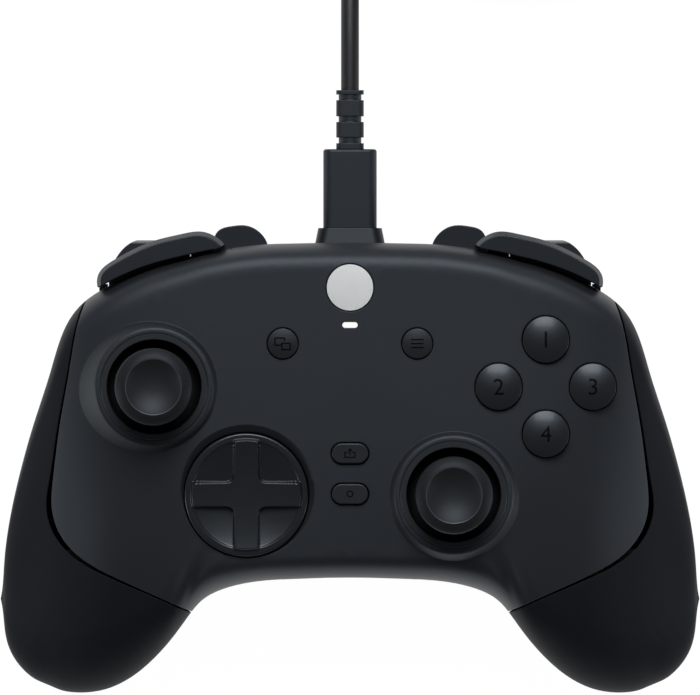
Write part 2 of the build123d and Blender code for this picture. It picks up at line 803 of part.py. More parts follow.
for name, place in pill_buttons:
    top = surface_heights(place)[1] + small_button_rise
    flange_high = guide_low - seat_gap
    with BuildPart() as button:
        pill(place, pill_length, pill_width, flange_high - flange_thickness, top)
        fillet(button.edges().group_by(Axis.Z)[-1], small_button_dome)
        pill(place, pill_length + 2 * button_flange, pill_width + 2 * button_flange,
             flange_high - flange_thickness, flange_high)
        disc(place, plunger_radius,
             board_top + switch_height + switch_nub_height + small_button_travel + switch_slack, flange_high)
    keep(button.part, name)

with BuildPart() as status_light_lens:
    pill(light_place, light_length, light_width, light_low, surface_heights(light_place)[1] + light_proud)
keep(status_light_lens.part, "status_light_lens")

# Direction pad: a dished disc with a raised cross, on a ball that rocks in a cup and a socket
dpad_x, dpad_y = dpad_place


def dpad_shell(radius_out, radius_in, half_angle):
    """A bowl under the pad's pivot, between two balls, open at the top."""
    top = dpad_pivot - radius_out * math.cos(math.radians(half_angle))
    with BuildPart() as bowl:
        with Locations((dpad_x, dpad_y, dpad_pivot)):
            Sphere(radius_out)
            Sphere(radius_in, mode=Mode.SUBTRACT)
        disc(dpad_place, radius_out, top, dpad_pivot + radius_out, mode=Mode.SUBTRACT)
    return bowl


with BuildPart() as dpad_bowl_cut:
    dish_ball = (dpad_radius ** 2 + dpad_dish_depth ** 2) / (2 * dpad_dish_depth)
    with Locations((dpad_x, dpad_y, dpad_rim_high - dpad_dish_depth + dish_ball)):
        Sphere(dish_ball)
with BuildPart() as dpad_cross:
    for length, width in ((2 * dpad_arm_reach, dpad_arm_width), (dpad_arm_width, 2 * dpad_arm_reach)):
        with BuildSketch(Plane.XY.offset(dpad_rim_low)) as arm:
            with Locations(dpad_place):
                Rectangle(length, width)
        extrude(arm.sketch, amount=dpad_arm_top - dpad_rim_low, taper=dpad_draft_angle)
    cross_ball = (dpad_arm_reach ** 2 + dpad_arm_dip ** 2) / (2 * dpad_arm_dip)
    with Locations((dpad_x, dpad_y, dpad_arm_top - dpad_arm_dip + cross_ball)):
        Sphere(cross_ball, mode=Mode.SUBTRACT)
with BuildPart() as dpad:
    disc(dpad_place, dpad_radius, dpad_rim_low, dpad_rim_high)
    fillet(dpad.edges().group_by(Axis.Z)[-1], dpad_arm_dip / 2)
    add(dpad_bowl_cut.part, mode=Mode.SUBTRACT)
    add(dpad_cross.part)
    with Locations((dpad_x, dpad_y, dpad_pivot)):
        Sphere(dpad_ball_radius, arc_size1=-90, arc_size2=-math.degrees(math.asin(
            (dpad_pivot - dpad_rim_low - seat_gap) / dpad_ball_radius)), align=None)
keep(dpad.part, "dpad")
cup_inner = dpad_ball_radius + 2 * running_gap
cup_outer = cup_inner + dpad_cup_thickness
keep(dpad_shell(cup_outer, cup_inner, dpad_cup_angle).part, "dpad_pivot_cup")
with BuildPart() as dpad_socket:
    disc(dpad_place, dpad_turret_radius, board_top, dpad_turret_top)
    with Locations((dpad_x, dpad_y, dpad_pivot)):
        Sphere(cup_outer + 2 * running_gap, mode=Mode.SUBTRACT)
keep(dpad_socket.part, "dpad_socket")

# Thumb sticks: cap, shaft, yoke, rocker and housing on each side
for word, (x, y) in zip(("left", "right"), stick_places):
    axis = Axis((x, y, 0), (0, 0, 1))
    upright_plane = Plane((x, y, stick_pivot), x_dir=(1, 0, 0), z_dir=(0, -1, 0))
    edge_angle = math.radians(stick_dome_angle)
    middle_angle = edge_angle / 2
    inner_dome = stick_dome_radius - stick_dome_thickness
    neck_foot = math.sqrt(stick_dome_radius ** 2 - stick_neck_radius ** 2)
    cap_low = stick_cap_rise - stick_cap_thickness
    shoulder = stick_cap_radius - stick_rim_chamfer
    with BuildPart() as thumb_cap:
        with BuildSketch(upright_plane):
            with BuildLine():
                ThreePointArc((0, stick_cap_rise - stick_dish_depth),
                              (stick_dish_radius / 2, stick_cap_rise - stick_dish_depth * 3 / 4),
                              (stick_dish_radius, stick_cap_rise - stick_rim_chamfer / 2))
                Polyline((stick_dish_radius, stick_cap_rise - stick_rim_chamfer / 2),
                         (stick_dish_radius + stick_rim_chamfer, stick_cap_rise), (shoulder, stick_cap_rise),
                         (stick_cap_radius, stick_cap_rise - stick_rim_chamfer),
                         (stick_cap_radius, cap_low + stick_rim_chamfer), (shoulder, cap_low),
                         (stick_neck_radius, cap_low), (stick_neck_radius, neck_foot))
                ThreePointArc((stick_neck_radius, neck_foot),
                              (stick_dome_radius * math.sin(middle_angle),
                               stick_dome_radius * math.cos(middle_angle)),
                              (stick_dome_radius * math.sin(edge_angle),
                               stick_dome_radius * math.cos(edge_angle)))
                Line((stick_dome_radius * math.sin(edge_angle), stick_dome_radius * math.cos(edge_angle)),
                     (inner_dome * math.sin(edge_angle), inner_dome * math.cos(edge_angle)))
                ThreePointArc((inner_dome * math.sin(edge_angle), inner_dome * math.cos(edge_angle)),
                              (inner_dome * math.sin(middle_angle), inner_dome * math.cos(middle_angle)),
                              (0, inner_dome))
                Line((0, inner_dome), (0, stick_cap_rise - stick_dish_depth))
            make_face()
        revolve(axis=axis)
        disc((x, y), stick_shaft_radius + running_gap, stick_pivot,
             stick_pivot + stick_shaft_rise + seat_gap, mode=Mode.SUBTRACT)
    keep(thumb_cap.part, f"{word}_thumb_cap")

    with BuildPart() as stick_shaft:
        disc((x, y), stick_shaft_radius, stick_pivot - stick_shaft_tail, stick_pivot + stick_shaft_rise)
    keep(stick_shaft.part, f"{word}_stick_shaft")

    yoke_half_length = rocker_half - rocker_wall - seat_gap * 3
    with BuildPart() as stick_yoke:
        block((x - yoke_half_width, x + yoke_half_width), (y - yoke_half_length, y + yoke_half_length),
              (stick_pivot - yoke_half_height, stick_pivot + yoke_half_height))
        rod_along_y((x, stick_pivot), yoke_pin_radius, y - rocker_half + running_gap,
                    y + rocker_half - running_gap)
        disc((x, y), yoke_tube_radius, stick_pivot - yoke_half_height, stick_pivot + yoke_tube_rise)
        disc((x, y), stick_shaft_radius + running_gap, stick_pivot - overrun, stick_pivot + overrun,
             mode=Mode.SUBTRACT)
    keep(stick_yoke.part, f"{word}_stick_yoke")

    rocker_inner = rocker_half - rocker_wall
    with BuildPart() as stick_rocker:
        block((x - rocker_half, x + rocker_half), (y - rocker_half, y + rocker_half),
              (stick_pivot - rocker_half_height, stick_pivot + rocker_half_height))
        rod_along_x((y, stick_pivot), trunnion_radius, x - module_half + running_gap,
                    x + module_half - running_gap)
        block((x - rocker_inner, x + rocker_inner), (y - rocker_inner, y + rocker_inner),
              (stick_pivot - overrun, stick_pivot + overrun), mode=Mode.SUBTRACT)
        rod_along_y((x, stick_pivot), yoke_pin_radius + running_gap, y - overrun, y + overrun,
                    mode=Mode.SUBTRACT)
    keep(stick_rocker.part, f"{word}_stick_rocker")

with BuildPart() as stick_housings:
    for x, y in stick_places:
        cavity = module_half - module_wall
        block((x - module_half, x + module_half), (y - module_half, y + module_half),
              (board_top, board_top + module_height))
        block((x - cavity, x + cavity), (y - cavity, y + cavity),
              (board_top + module_wall, board_top + module_height - module_wall), mode=Mode.SUBTRACT)
        disc((x, y), module_mouth_radius, stick_pivot, board_top + module_height, mode=Mode.SUBTRACT)
        rod_along_x((y, stick_pivot), trunnion_radius + running_gap, x - module_half, x + module_half,
                    mode=Mode.SUBTRACT)
keep(stick_housings.part, "stick_housings")

with BuildPart() as stick_gates:
    for x, y in stick_places:
        disc((x, y), gate_outer_radius, gate_low, collar_top + gate_proud)
        disc((x, y), gate_inner_radius, gate_low, collar_top + gate_proud, mode=Mode.SUBTRACT)
    chamfer(stick_gates.edges().group_by(Axis.Z)[-1], gate_proud)
keep(stick_gates.part, "stick_gate_rings")

# Bumpers: a crescent shell on an arm that turns on an upright pin inside the case
crescent_outer = as_points(bumper_outer_shares, half_width, half_depth)
crescent_inner = as_points(bumper_inner_shares, half_width, half_depth)
with BuildPart() as bumper:
    with BuildSketch(Plane.XY.offset(bumper_low)) as crescent:
        with BuildLine():
            Spline(*crescent_outer)
            Spline(*crescent_inner)
            Line(crescent_outer[0], crescent_inner[-1])
            Line(crescent_outer[-1], crescent_inner[0])
        make_face()
    extrude(amount=bumper_high - bumper_low)
    long_edges = bumper.edges().group_by(Axis.Z)[-1].sort_by(Edge.length)[-2:]
    crest = long_edges.sort_by(lambda edge: edge.center().Y)[-1]
    chamfer(crest, bumper_edge_radius, bumper_edge_radius / 2)
    block((pivot_x - bumper_pin_radius, pivot_x + bumper_arm_half),
          (pivot_y, crescent_inner[0][1] + 2 * moving_gap), (bumper_arm_low, bumper_arm_high))
    disc(bumper_pivot, bumper_eye_radius, bumper_arm_low, bumper_arm_high)
    disc(bumper_pivot, bumper_pin_radius + running_gap, bumper_arm_low, bumper_arm_high, mode=Mode.SUBTRACT)
keep_pair(bumper.part, "bumper")

# Small buttons between the bumpers and the cable socket
with BuildPart() as claw:
    add(claw_prism(0, claw_back - claw_flange_thickness, claw_low, claw_high))
    block((claw_points[-1][0] - claw_flange_side, claw_points[0][0] + claw_flange_side),
          (claw_back - claw_flange_thickness, claw_back), (claw_low, claw_high))
keep_pair(claw.part, "claw_button")

# Triggers: a hollow shell that swings on a pin across the case
hinge_y, hinge_z = trigger_hinge


def trigger_points(shares):
    return [(hinge_y + a * trigger_reach, b * hinge_z) for a, b in shares]


with BuildPart() as trigger:
    front_line = trigger_points(trigger_front_shares)
    rear_line = trigger_points(trigger_rear_shares)
    top_line = trigger_points(trigger_top_shares)
    with BuildSketch(Plane.YZ.offset(trigger_inner_x)) as profile:
        with BuildLine():
            Spline(*front_line)
            Spline(*rear_line)
            Polyline(rear_line[-1], top_line[0], top_line[1], front_line[0])
        make_face()
    extrude(profile.sketch, amount=trigger_outer_x - trigger_inner_x)
    rod_along_x(trigger_hinge, trigger_barrel_radius, trigger_inner_x, trigger_outer_x)
    plan_line = as_points(trigger_plan_shares, half_width, half_depth)
    with BuildSketch(Plane.XY.offset(-overrun)) as plan:
        with BuildLine():
            Spline(*plan_line)
            Polyline(plan_line[-1], (trigger_outer_x, 0), (0, 0), (0, plan_line[0][1]), plan_line[0])
        make_face()
    extrude(plan.sketch, amount=face_height + 2 * overrun, mode=Mode.INTERSECT)
    with BuildSketch(Plane.YZ.offset(trigger_inner_x + trigger_skin)) as hollow:
        with BuildLine():
            hollow_front = [(y - trigger_skin, z) for y, z in front_line[1:5]]
            top_y, top_z = hollow_front[0]
            web_z = top_z - trigger_barrel_radius
            Spline(*hollow_front)
            Polyline(hollow_front[-1], (0, hollow_front[-1][1]), (0, web_z),
                     (hinge_y + trigger_barrel_radius, web_z), (top_y - trigger_barrel_radius, top_z),
                     (top_y, top_z))
        make_face()
    extrude(hollow.sketch, amount=plan_line[1][0] - trigger_inner_x - trigger_skin, mode=Mode.SUBTRACT)
    rod_along_x(trigger_hinge, trigger_barrel_radius + trigger_spring_wire, trigger_inner_x,
                trigger_inner_x + trigger_spring_room, mode=Mode.SUBTRACT)
    rod_along_x(trigger_hinge, trigger_pin_radius + running_gap, 0, half_width, mode=Mode.SUBTRACT)
    block((trigger_outer_x - trigger_corner_cut, trigger_outer_x),
          (hinge_y + trigger_barrel_radius + moving_gap, half_depth),
          (trigger_bay_top - moving_gap, face_height), mode=Mode.SUBTRACT)
keep_pair(trigger.part, "trigger")

with BuildPart() as trigger_springs:
    for side, _ in sides:
        with BuildLine() as spring_line:
            Helix(trigger_spring_pitch, trigger_spring_pitch * trigger_spring_turns, trigger_spring_radius,
                  center=(side * (trigger_inner_x + trigger_spring_wire), hinge_y, hinge_z),
                  direction=(side, 0, 0))
        with BuildSketch(spring_line.line ^ 0) as wire:
            Circle(trigger_spring_wire / 2)
        sweep(sections=wire.sketch, path=spring_line.line)
keep(trigger_springs.part, "trigger_springs")

# Hinge pins: one across each trigger and one upright through each bumper's eye
ear_x = (trigger_inner_x - ear_gap, trigger_outer_x + ear_gap)
with BuildPart() as hinge_pins:
    for side, _ in sides:
        rod_along_x(trigger_hinge, trigger_pin_radius,
                    *sorted((side * (ear_x[0] - ear_thickness), side * (ear_x[1] + ear_thickness))))
        disc((side * pivot_x, pivot_y), bumper_pin_radius, bumper_arm_low - bumper_pin_tail,
             bumper_high - seat_gap)
keep(hinge_pins.part, "hinge_pins")

# Mid frame: a bar across the case whose ears carry the trigger pins
with BuildPart() as mid_frame:
    bar_end = ear_x[1] + ear_thickness
    block((-bar_end, bar_end), (frame_bar_back, frame_bar_front), (frame_bar_low, frame_bar_high))
    for side, _ in sides:
        for x in (ear_x[0] - ear_thickness, ear_x[1]):
            with BuildSketch(Plane.YZ.offset(min(side * x, side * (x + ear_thickness)))) as ear:
                with BuildLine():
                    Polyline((frame_bar_back, frame_bar_low), (frame_bar_front, frame_bar_low),
                             (hinge_y + trigger_barrel_radius, hinge_z),
                             (hinge_y - trigger_barrel_radius, hinge_z), close=True)
                make_face()
                with Locations(trigger_hinge):
                    Circle(trigger_barrel_radius)
            extrude(ear.sketch, amount=ear_thickness)
        disc((side * frame_x, frame_y), screw_radius + running_gap, frame_bar_low, frame_bar_high,
             mode=Mode.SUBTRACT)
    rod_along_x(trigger_hinge, trigger_pin_radius + running_gap, -half_width, half_width, mode=Mode.SUBTRACT)
keep(mid_frame.part, "mid_frame")

# Buttons and trigger stops at the rear
for name, place in rear_buttons:
    flange_low = rear_guide_high + seat_gap
    with BuildPart() as rear_button:
        pill(place, rear_button_length, rear_button_width, -overrun, flange_low + flange_thickness,
             turn=-rear_button_angle)
        add(Pos(0, 0, -rear_button_proud) * right_outer, mode=Mode.INTERSECT)
        pill(place, rear_button_length + 2 * button_flange, rear_button_width + 2 * button_flange,
             flange_low, flange_low + flange_thickness, turn=-rear_button_angle)
        disc(place, plunger_radius, flange_low,
             board_low - switch_height + flange_thickness - rear_button_travel)
    keep_pair(rear_button.part, name)

stop_center = (stop_x - stop_travel / 2, stop_y)
with BuildPart() as trigger_stop:
    pill(stop_center, stop_knob_length, stop_knob_width, stop_surface - seat_gap, stop_ceiling + seat_gap)
    pill(stop_center, stop_knob_length + stop_knob_width + 2 * stop_margin,
         stop_knob_width + 3 * stop_margin, stop_ceiling + seat_gap,
         stop_ceiling + seat_gap + stop_plate_thickness)
keep_pair(trigger_stop.part, "trigger_stop")

# Circuit board with its clearances for screws, frame and connector
with BuildPart() as main_board:
    with BuildSketch(Plane.XY.offset(board_low)) as outline:
        with BuildLine():
            half = [(0, board_low_y), (board_half_width, board_low_y), (board_half_width, board_side_y),
                    (board_wing_half, board_side_y), (board_wing_half, board_wing_y),
                    (board_shelf_half, board_wing_y), (board_shelf_half, board_shelf_y),
                    (board_neck_half, board_shelf_y), (board_neck_half, board_neck_y),
                    (board_tongue_half, board_neck_y), (board_tongue_half, board_tongue_y),
                    (0, board_tongue_y)]
            Polyline(*half)
            Polyline(*[(-x, y) for x, y in half])
        make_face()
    extrude(amount=board_thickness)
    slot_half = plug_shell_width / 2 + receptacle_wall + 2 * seat_gap
    block((-slot_half, slot_half), (receptacle_back, half_depth), (board_low, board_top), mode=Mode.SUBTRACT)
    for side, _ in sides:
        disc((side * frame_x, frame_y), screw_boss_radius + moving_gap, board_low, board_top,
             mode=Mode.SUBTRACT)
        disc((side * board_x, board_y), screw_radius + running_gap, board_low, board_top,
             mode=Mode.SUBTRACT)
keep(main_board.part, "main_board")

# Switches under the buttons, one small case with a nub each
with BuildPart() as switches:
    switch_top = board_top + switch_height
    receptacle_top = port_height + plug_shell_depth / 2 + running_gap + receptacle_wall
    for x, y in [button[1] for button in (*round_buttons, *pill_buttons)]:
        seat = receptacle_top + seat_gap if (x, y) == home_button_place else board_top
        block((x - switch_half, x + switch_half), (y - switch_half, y + switch_half), (seat, switch_top))
        disc((x, y), switch_nub_radius, switch_top, switch_top + switch_nub_height)
    for side, _ in sides:
        for _, (place_x, y) in rear_buttons:
            x = side * place_x
            block((x - switch_half, x + switch_half), (y - switch_half, y + switch_half),
                  (board_low - switch_height / 2, board_low))
            disc((x, y), switch_nub_radius, board_low - switch_height / 2 - switch_nub_height,
                 board_low - switch_height / 2)
    for quarter in range(4):
        turn = math.radians(90 * quarter)
        disc((dpad_x + dpad_switch_reach * math.cos(turn), dpad_y + dpad_switch_reach * math.sin(turn)),
             dpad_switch_radius, dpad_turret_top, dpad_switch_top)
    for side, _ in sides:
        claw_middle = side * (claw_points[0][0] + claw_points[-1][0]) / 2
        claw_switch_y = claw_back - claw_flange_thickness - claw_travel - switch_slack
        block((claw_middle - switch_half, claw_middle + switch_half),
              (claw_switch_y - switch_height, claw_switch_y), (board_top, board_top + switch_height / 2))
keep(switches.part, "button_switches")

with BuildPart() as case_screws:
    for side, _ in sides:
        for ((place_x, y), boss_low), seat in zip(screw_places, screw_seats):
            x = side * place_x
            disc((x, y), screw_head_radius, seat - screw_head_height, seat)
            with BuildSketch(Plane.XY.offset(seat - screw_head_height)) as socket:
                with Locations((x, y)):
                    RegularPolygon(screw_radius, 6)
            extrude(socket.sketch, amount=screw_head_height / 2, mode=Mode.SUBTRACT)
            disc((x, y), screw_radius, seat, boss_low + thread_grip)
keep(case_screws.part, "case_screws")

# Vibration motors with their off-centre weights
with BuildPart() as rumble_motors:
    for side, _ in sides:
        center = (side * motor_x, motor_height)
        rod_along_y(center, motor_radius, motor_y - motor_half_length, motor_y + motor_half_length)
        rod_along_y(center, motor_shaft_radius + running_gap, motor_y - motor_half_length,
                    motor_y, mode=Mode.SUBTRACT)
keep(rumble_motors.part, "rumble_motors")
weight_front = motor_y - motor_half_length - weight_gap
with BuildPart() as rumble_weight:
    with BuildSketch(Plane.XZ.offset(-weight_front)) as sector:
        with Locations((motor_x, motor_height)):
            Circle(weight_radius)
        with Locations((motor_x, motor_height + weight_radius / 2 + motor_shaft_radius)):
            Rectangle(2 * weight_radius, weight_radius, mode=Mode.SUBTRACT)
    extrude(sector.sketch, amount=weight_length)
    rod_along_y((motor_x, motor_height), motor_shaft_radius, weight_front - weight_length,
                motor_y - seat_gap)
    rod_along_y((motor_x, motor_height), 2 * motor_shaft_radius, weight_front - weight_length, weight_front)
keep_pair(rumble_weight.part, "rumble_weight")

# Cable socket: port surround, metal receptacle and headset jack
with BuildPart() as port_surround:
    slab_along_y((0, port_height), port_width, port_depth, port_corner, port_inner_end, port_shoulder)
    with BuildSketch(Plane.XZ.offset(-port_shoulder)) as flare_foot:
        with Locations((0, port_height)):
            RectangleRounded(port_width, port_depth, port_corner)
    with BuildSketch(Plane.XZ.offset(-port_end)) as flare_head:
        with Locations((0, port_height)):
            RectangleRounded(port_end_width, port_end_depth, port_corner)
    loft(sections=[flare_foot.sketch, flare_head.sketch])
    slab_along_y((0, port_height), plug_nose_width + 2 * seat_gap, plug_nose_depth + 2 * seat_gap,
                 plug_nose_corner + seat_gap, plug_nose_end - seat_gap, port_end, mode=Mode.SUBTRACT)
    slab_along_y((0, port_height), plug_shell_width + 4 * seat_gap, plug_shell_depth + 4 * seat_gap,
                 plug_shell_depth / 2, port_inner_end, port_end, mode=Mode.SUBTRACT)
keep(port_surround.part, "port_surround")

with BuildPart() as usb_receptacle:
    inner_width = plug_shell_width + 2 * running_gap
    inner_depth = plug_shell_depth + 2 * running_gap
    slab_along_y((0, port_height), inner_width + 2 * receptacle_wall, inner_depth + 2 * receptacle_wall,
                 inner_depth / 2 + receptacle_wall - running_gap, receptacle_back, port_inner_end - seat_gap)
    slab_along_y((0, port_height), inner_width, inner_depth, inner_depth / 2 - running_gap,
                 receptacle_back + 4 * receptacle_wall, port_inner_end, mode=Mode.SUBTRACT)
    slab_along_y((0, port_height), plug_shell_width - 6 * plug_shell_wall, 2 * plug_shell_wall,
                 plug_shell_wall / 2, receptacle_back + receptacle_wall,
                 port_inner_end - 4 * seat_gap - plug_shell_wall)
keep(usb_receptacle.part, "usb_receptacle")

with BuildPart() as headset_jack:
    block((-jack_half_width, jack_half_width), (jack_shoulder, jack_back),
          (board_top, 2 * jack_height - board_top))
    rod_along_y((0, jack_height), jack_barrel_radius, jack_mouth, jack_shoulder)
    rod_along_y((0, jack_height), jack_bore_radius, jack_mouth, jack_mouth + jack_bore_length,
                mode=Mode.SUBTRACT)
keep(headset_jack.part, "headset_jack")

# Cable: plug, strain relief, free lead, coil, tie strap and the plug at the far end
with BuildPart() as cable_plug:
    slab_along_y((0, port_height), plug_width, plug_depth, plug_corner, port_end, plug_end)
    fillet(cable_plug.edges().group_by(Axis.Y)[-1], plug_edge_radius)
    slab_along_y((0, port_height), plug_nose_width, plug_nose_depth, plug_nose_corner, plug_nose_end,
                 port_end)
keep(cable_plug.part, "cable_plug")

with BuildPart() as strain_relief:
    rod_along_y((0, port_height), relief_core_radius, plug_end, relief_end)
    for low, high in relief_rib_shares:
        slab_along_y((0, port_height), relief_rib_width, relief_rib_depth, relief_rib_corner,
                     plug_end + low * (relief_end - plug_end), plug_end + high * (relief_end - plug_end))
keep(strain_relief.part, "strain_relief")

coil_heights = [coil_lift + cable_radius + layer * coil_spacing for layer in range(4)]
coil_center = (coil_side, coil_middle)
half_step = coil_spacing / 2


def coil_edges():
    """The coil's path as half turns, from the end of the lead on the top layer to the tail on the floor.

    Each half turn is two quarter arcs. It is half a step tighter, or wider, than the one before, so the
    turns lie a step apart. Where the spiral turns back, its half turn also goes down a layer.
    """
    steps = list(range(coil_half_turns_in)) + [coil_half_turns_in]
    steps += list(range(coil_half_turns_in - 1, 0, -1)) + [0]
    steps += list(range(1, coil_half_turns_in)) + [coil_half_turns_in]
    steps += list(range(coil_half_turns_in - 1, 0, -1))
    drops = {coil_half_turns_in, 2 * coil_half_turns_in, 3 * coil_half_turns_in}
    x, z, way = coil_center[0] - coil_side, coil_heights[-1], 1
    edges = []
    for number, step in enumerate(steps):
        radius = coil_side - step * half_step
        fall = coil_spacing if number in drops else 0
        middle = (x + way * radius, coil_center[1] + way * math.hypot(radius, fall / 2), z - fall / 2)
        end = (x + way * 2 * radius, coil_center[1], z - fall)
        first = TangentArc((x, coil_center[1], z), middle, tangent=(0, way, 0), mode=Mode.PRIVATE)
        second = TangentArc(middle, end, tangent=first % 1, mode=Mode.PRIVATE)
        edges += [first, second]
        x, z, way = end[0], end[2], -way
    return edges


turns = coil_edges()
tail_end = turns[-1] @ 1 + Vector(0, tail_length, 0)
lead_end = Vector(*cable_lead_points[-1])
relief_face = Vector(*cable_lead_points[0])
with BuildPart() as cable_coil:
    with BuildLine() as coil_line:
        add(turns)
        Line(turns[-1] @ 1, tail_end)
    with BuildSketch(Plane(lead_end, x_dir=(1, 0, 0), z_dir=(0, 1, 0))) as coil_section:
        Circle(cable_radius)
    sweep(sections=coil_section.sketch, path=coil_line.wires()[0])
keep(cable_coil.part, "cable_coil")
coil_length = sum(edge.length for edge in turns) + tail_length

# The least gap of the coil to itself, on points along its line
spots = [edge @ (step / 12) for edge in turns for step in range(12)]
reach = [0.0]
for before, after in zip(spots, spots[1:]):
    reach.append(reach[-1] + (after - before).length)
nearest = min(
    (spots[a] - spots[b]).length
    for a in range(len(spots))
    for b in range(a + 1, len(spots))
    if reach[b] - reach[a] > 4 * coil_spacing
)
print("coil: half turns", len(turns) / 2, "length", round(coil_length, 1),
      "least gap", round(nearest - 2 * cable_radius, 3))
print("coil volume", round(cable_coil.part.volume, 1), "of",
      round(math.pi * cable_radius ** 2 * coil_length, 1))

lead_corners = [Vector(*point) for point in cable_lead_points]
lead_radii = []
for before, corner, after in zip(lead_corners, lead_corners[1:], lead_corners[2:]):
    turn = (corner - before).get_angle(after - corner)
    shorter = min((corner - before).length, (after - corner).length)
    lead_radii.append(lead_run_share * shorter / math.tan(math.radians(turn / 2)))
with BuildPart() as cable_lead:
    with BuildLine() as lead_line:
        FilletPolyline(*cable_lead_points, radius=lead_radii)
    with BuildSketch(Plane(relief_face, x_dir=(1, 0, 0), z_dir=(0, 1, 0))) as lead_section:
        Circle(cable_radius)
    sweep(sections=lead_section.sketch, path=lead_line.wires()[0])
keep(cable_lead.part, "cable_lead")
lead_length = lead_line.wires()[0].length
print("lead: length", round(lead_length, 1), "radii", [round(radius, 1) for radius in lead_radii],
      "volume", round(cable_lead.part.volume, 1), "of", round(math.pi * cable_radius ** 2 * lead_length, 1))

# A strap round the bundle of turns on the side away from the controller
inmost_turn = coil_side - coil_half_turns_in * half_step
inmost_reach = math.sqrt(inmost_turn ** 2 - (strap_width / 2 + half_step) ** 2)
bundle_inner = coil_middle + inmost_reach - cable_radius - strap_gap
bundle_outer = coil_middle + coil_side + cable_radius + strap_gap
bundle_top = coil_heights[-1] + cable_radius + strap_gap
with BuildPart() as cable_strap:
    strap_x = (coil_side - half_step / 2 - strap_width / 2, coil_side - half_step / 2 + strap_width / 2)
    block(strap_x, (bundle_inner - strap_thickness, bundle_outer + strap_thickness),
          (0, bundle_top + strap_thickness))
    block(strap_x, (bundle_inner, bundle_outer), (strap_thickness, bundle_top), mode=Mode.SUBTRACT)
keep(cable_strap.part, "cable_strap")

# Far-end plug, lying beyond the coil in line with the tail
plug_x, plug_y = tail_end.X, tail_end.Y
plug_z = coil_heights[0]
with BuildPart() as far_plug:
    rod_along_y((plug_x, plug_z), cable_radius + plug_a_collar_wall, plug_y, plug_y + plug_a_collar_length)
    slab_along_y((plug_x, plug_a_depth / 2), plug_a_width, plug_a_depth, plug_a_corner,
                 plug_y + plug_a_collar_length, plug_y + plug_a_collar_length + plug_a_length)
keep(far_plug.part, "far_end_plug")
shell_start = plug_y + plug_a_collar_length + plug_a_length
with BuildPart() as plug_shells:
    slab_along_y((plug_x, plug_a_depth / 2), plug_a_shell_width, plug_a_shell_depth, plug_a_shell_wall,
                 shell_start, shell_start + plug_a_shell_length)
    shell_room = plug_a_shell_width / 2 - plug_a_shell_wall
    block((plug_x - shell_room, plug_x + shell_room),
          (shell_start + plug_a_shell_wall, shell_start + plug_a_shell_length),
          (plug_a_depth / 2, plug_a_depth / 2 + plug_a_shell_depth / 2 - plug_a_shell_wall),
          mode=Mode.SUBTRACT)
    slab_along_y((0, port_height), plug_shell_width, plug_shell_depth, plug_shell_depth / 2 - running_gap,
                 plug_shell_end, plug_nose_end)
    slab_along_y((0, port_height), plug_shell_width - 2 * plug_shell_wall,
                 plug_shell_depth - 2 * plug_shell_wall, plug_shell_depth / 2 - plug_shell_wall - running_gap,
                 plug_shell_end, plug_nose_end - plug_shell_wall, mode=Mode.SUBTRACT)
keep(plug_shells.part, "plug_shells")
print("cable", round(lead_length + coil_length, 1))
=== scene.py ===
import json
import math

import bmesh
import bpy
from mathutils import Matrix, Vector

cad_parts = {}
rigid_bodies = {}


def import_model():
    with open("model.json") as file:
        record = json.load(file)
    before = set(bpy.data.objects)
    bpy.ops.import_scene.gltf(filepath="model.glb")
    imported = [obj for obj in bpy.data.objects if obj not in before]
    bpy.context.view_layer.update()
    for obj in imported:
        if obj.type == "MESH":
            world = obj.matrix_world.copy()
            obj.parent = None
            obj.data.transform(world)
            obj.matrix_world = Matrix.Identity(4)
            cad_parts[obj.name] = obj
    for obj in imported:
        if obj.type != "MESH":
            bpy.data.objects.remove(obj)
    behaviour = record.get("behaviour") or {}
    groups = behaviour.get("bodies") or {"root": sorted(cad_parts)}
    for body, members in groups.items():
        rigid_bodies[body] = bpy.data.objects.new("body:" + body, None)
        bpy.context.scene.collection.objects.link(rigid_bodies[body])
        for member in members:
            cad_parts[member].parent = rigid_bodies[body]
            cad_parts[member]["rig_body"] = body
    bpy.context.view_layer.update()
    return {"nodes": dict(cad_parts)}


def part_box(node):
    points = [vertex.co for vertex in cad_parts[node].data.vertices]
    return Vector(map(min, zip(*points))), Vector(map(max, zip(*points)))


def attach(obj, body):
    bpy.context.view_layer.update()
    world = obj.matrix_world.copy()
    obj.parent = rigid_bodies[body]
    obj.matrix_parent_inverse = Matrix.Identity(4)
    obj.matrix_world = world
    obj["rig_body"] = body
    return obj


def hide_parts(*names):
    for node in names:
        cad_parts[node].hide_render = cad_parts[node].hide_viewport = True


bl_info = {
    "name": "Gamepad finishes",
    "version": (1, 0, 0),
    "blender": (4, 5, 0),
    "location": "View3D > Sidebar > Gamepad",
    "description": "Dresses the packed gamepad in its finishes, with its cable and a plain studio",
    "category": "Object",
}

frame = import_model()
quarter_turn = math.pi / 2
half_turn = math.pi
full_turn = 2 * math.pi


# Sizes and colours that a user may change


def length(label, value, words):
    return bpy.props.FloatProperty(name=label, description=words, default=value, precision=5, unit="LENGTH")


def number(label, value, words):
    return bpy.props.FloatProperty(name=label, description=words, default=value)


def count(label, value, words):
    return bpy.props.IntProperty(name=label, description=words, default=value, min=1)


def angle(label, value, words):
    return bpy.props.FloatProperty(name=label, description=words, default=value, subtype="ANGLE")


def colour(label, value, words):
    return bpy.props.FloatVectorProperty(
        name=label, description=words, default=value, subtype="COLOR", size=3,
    )


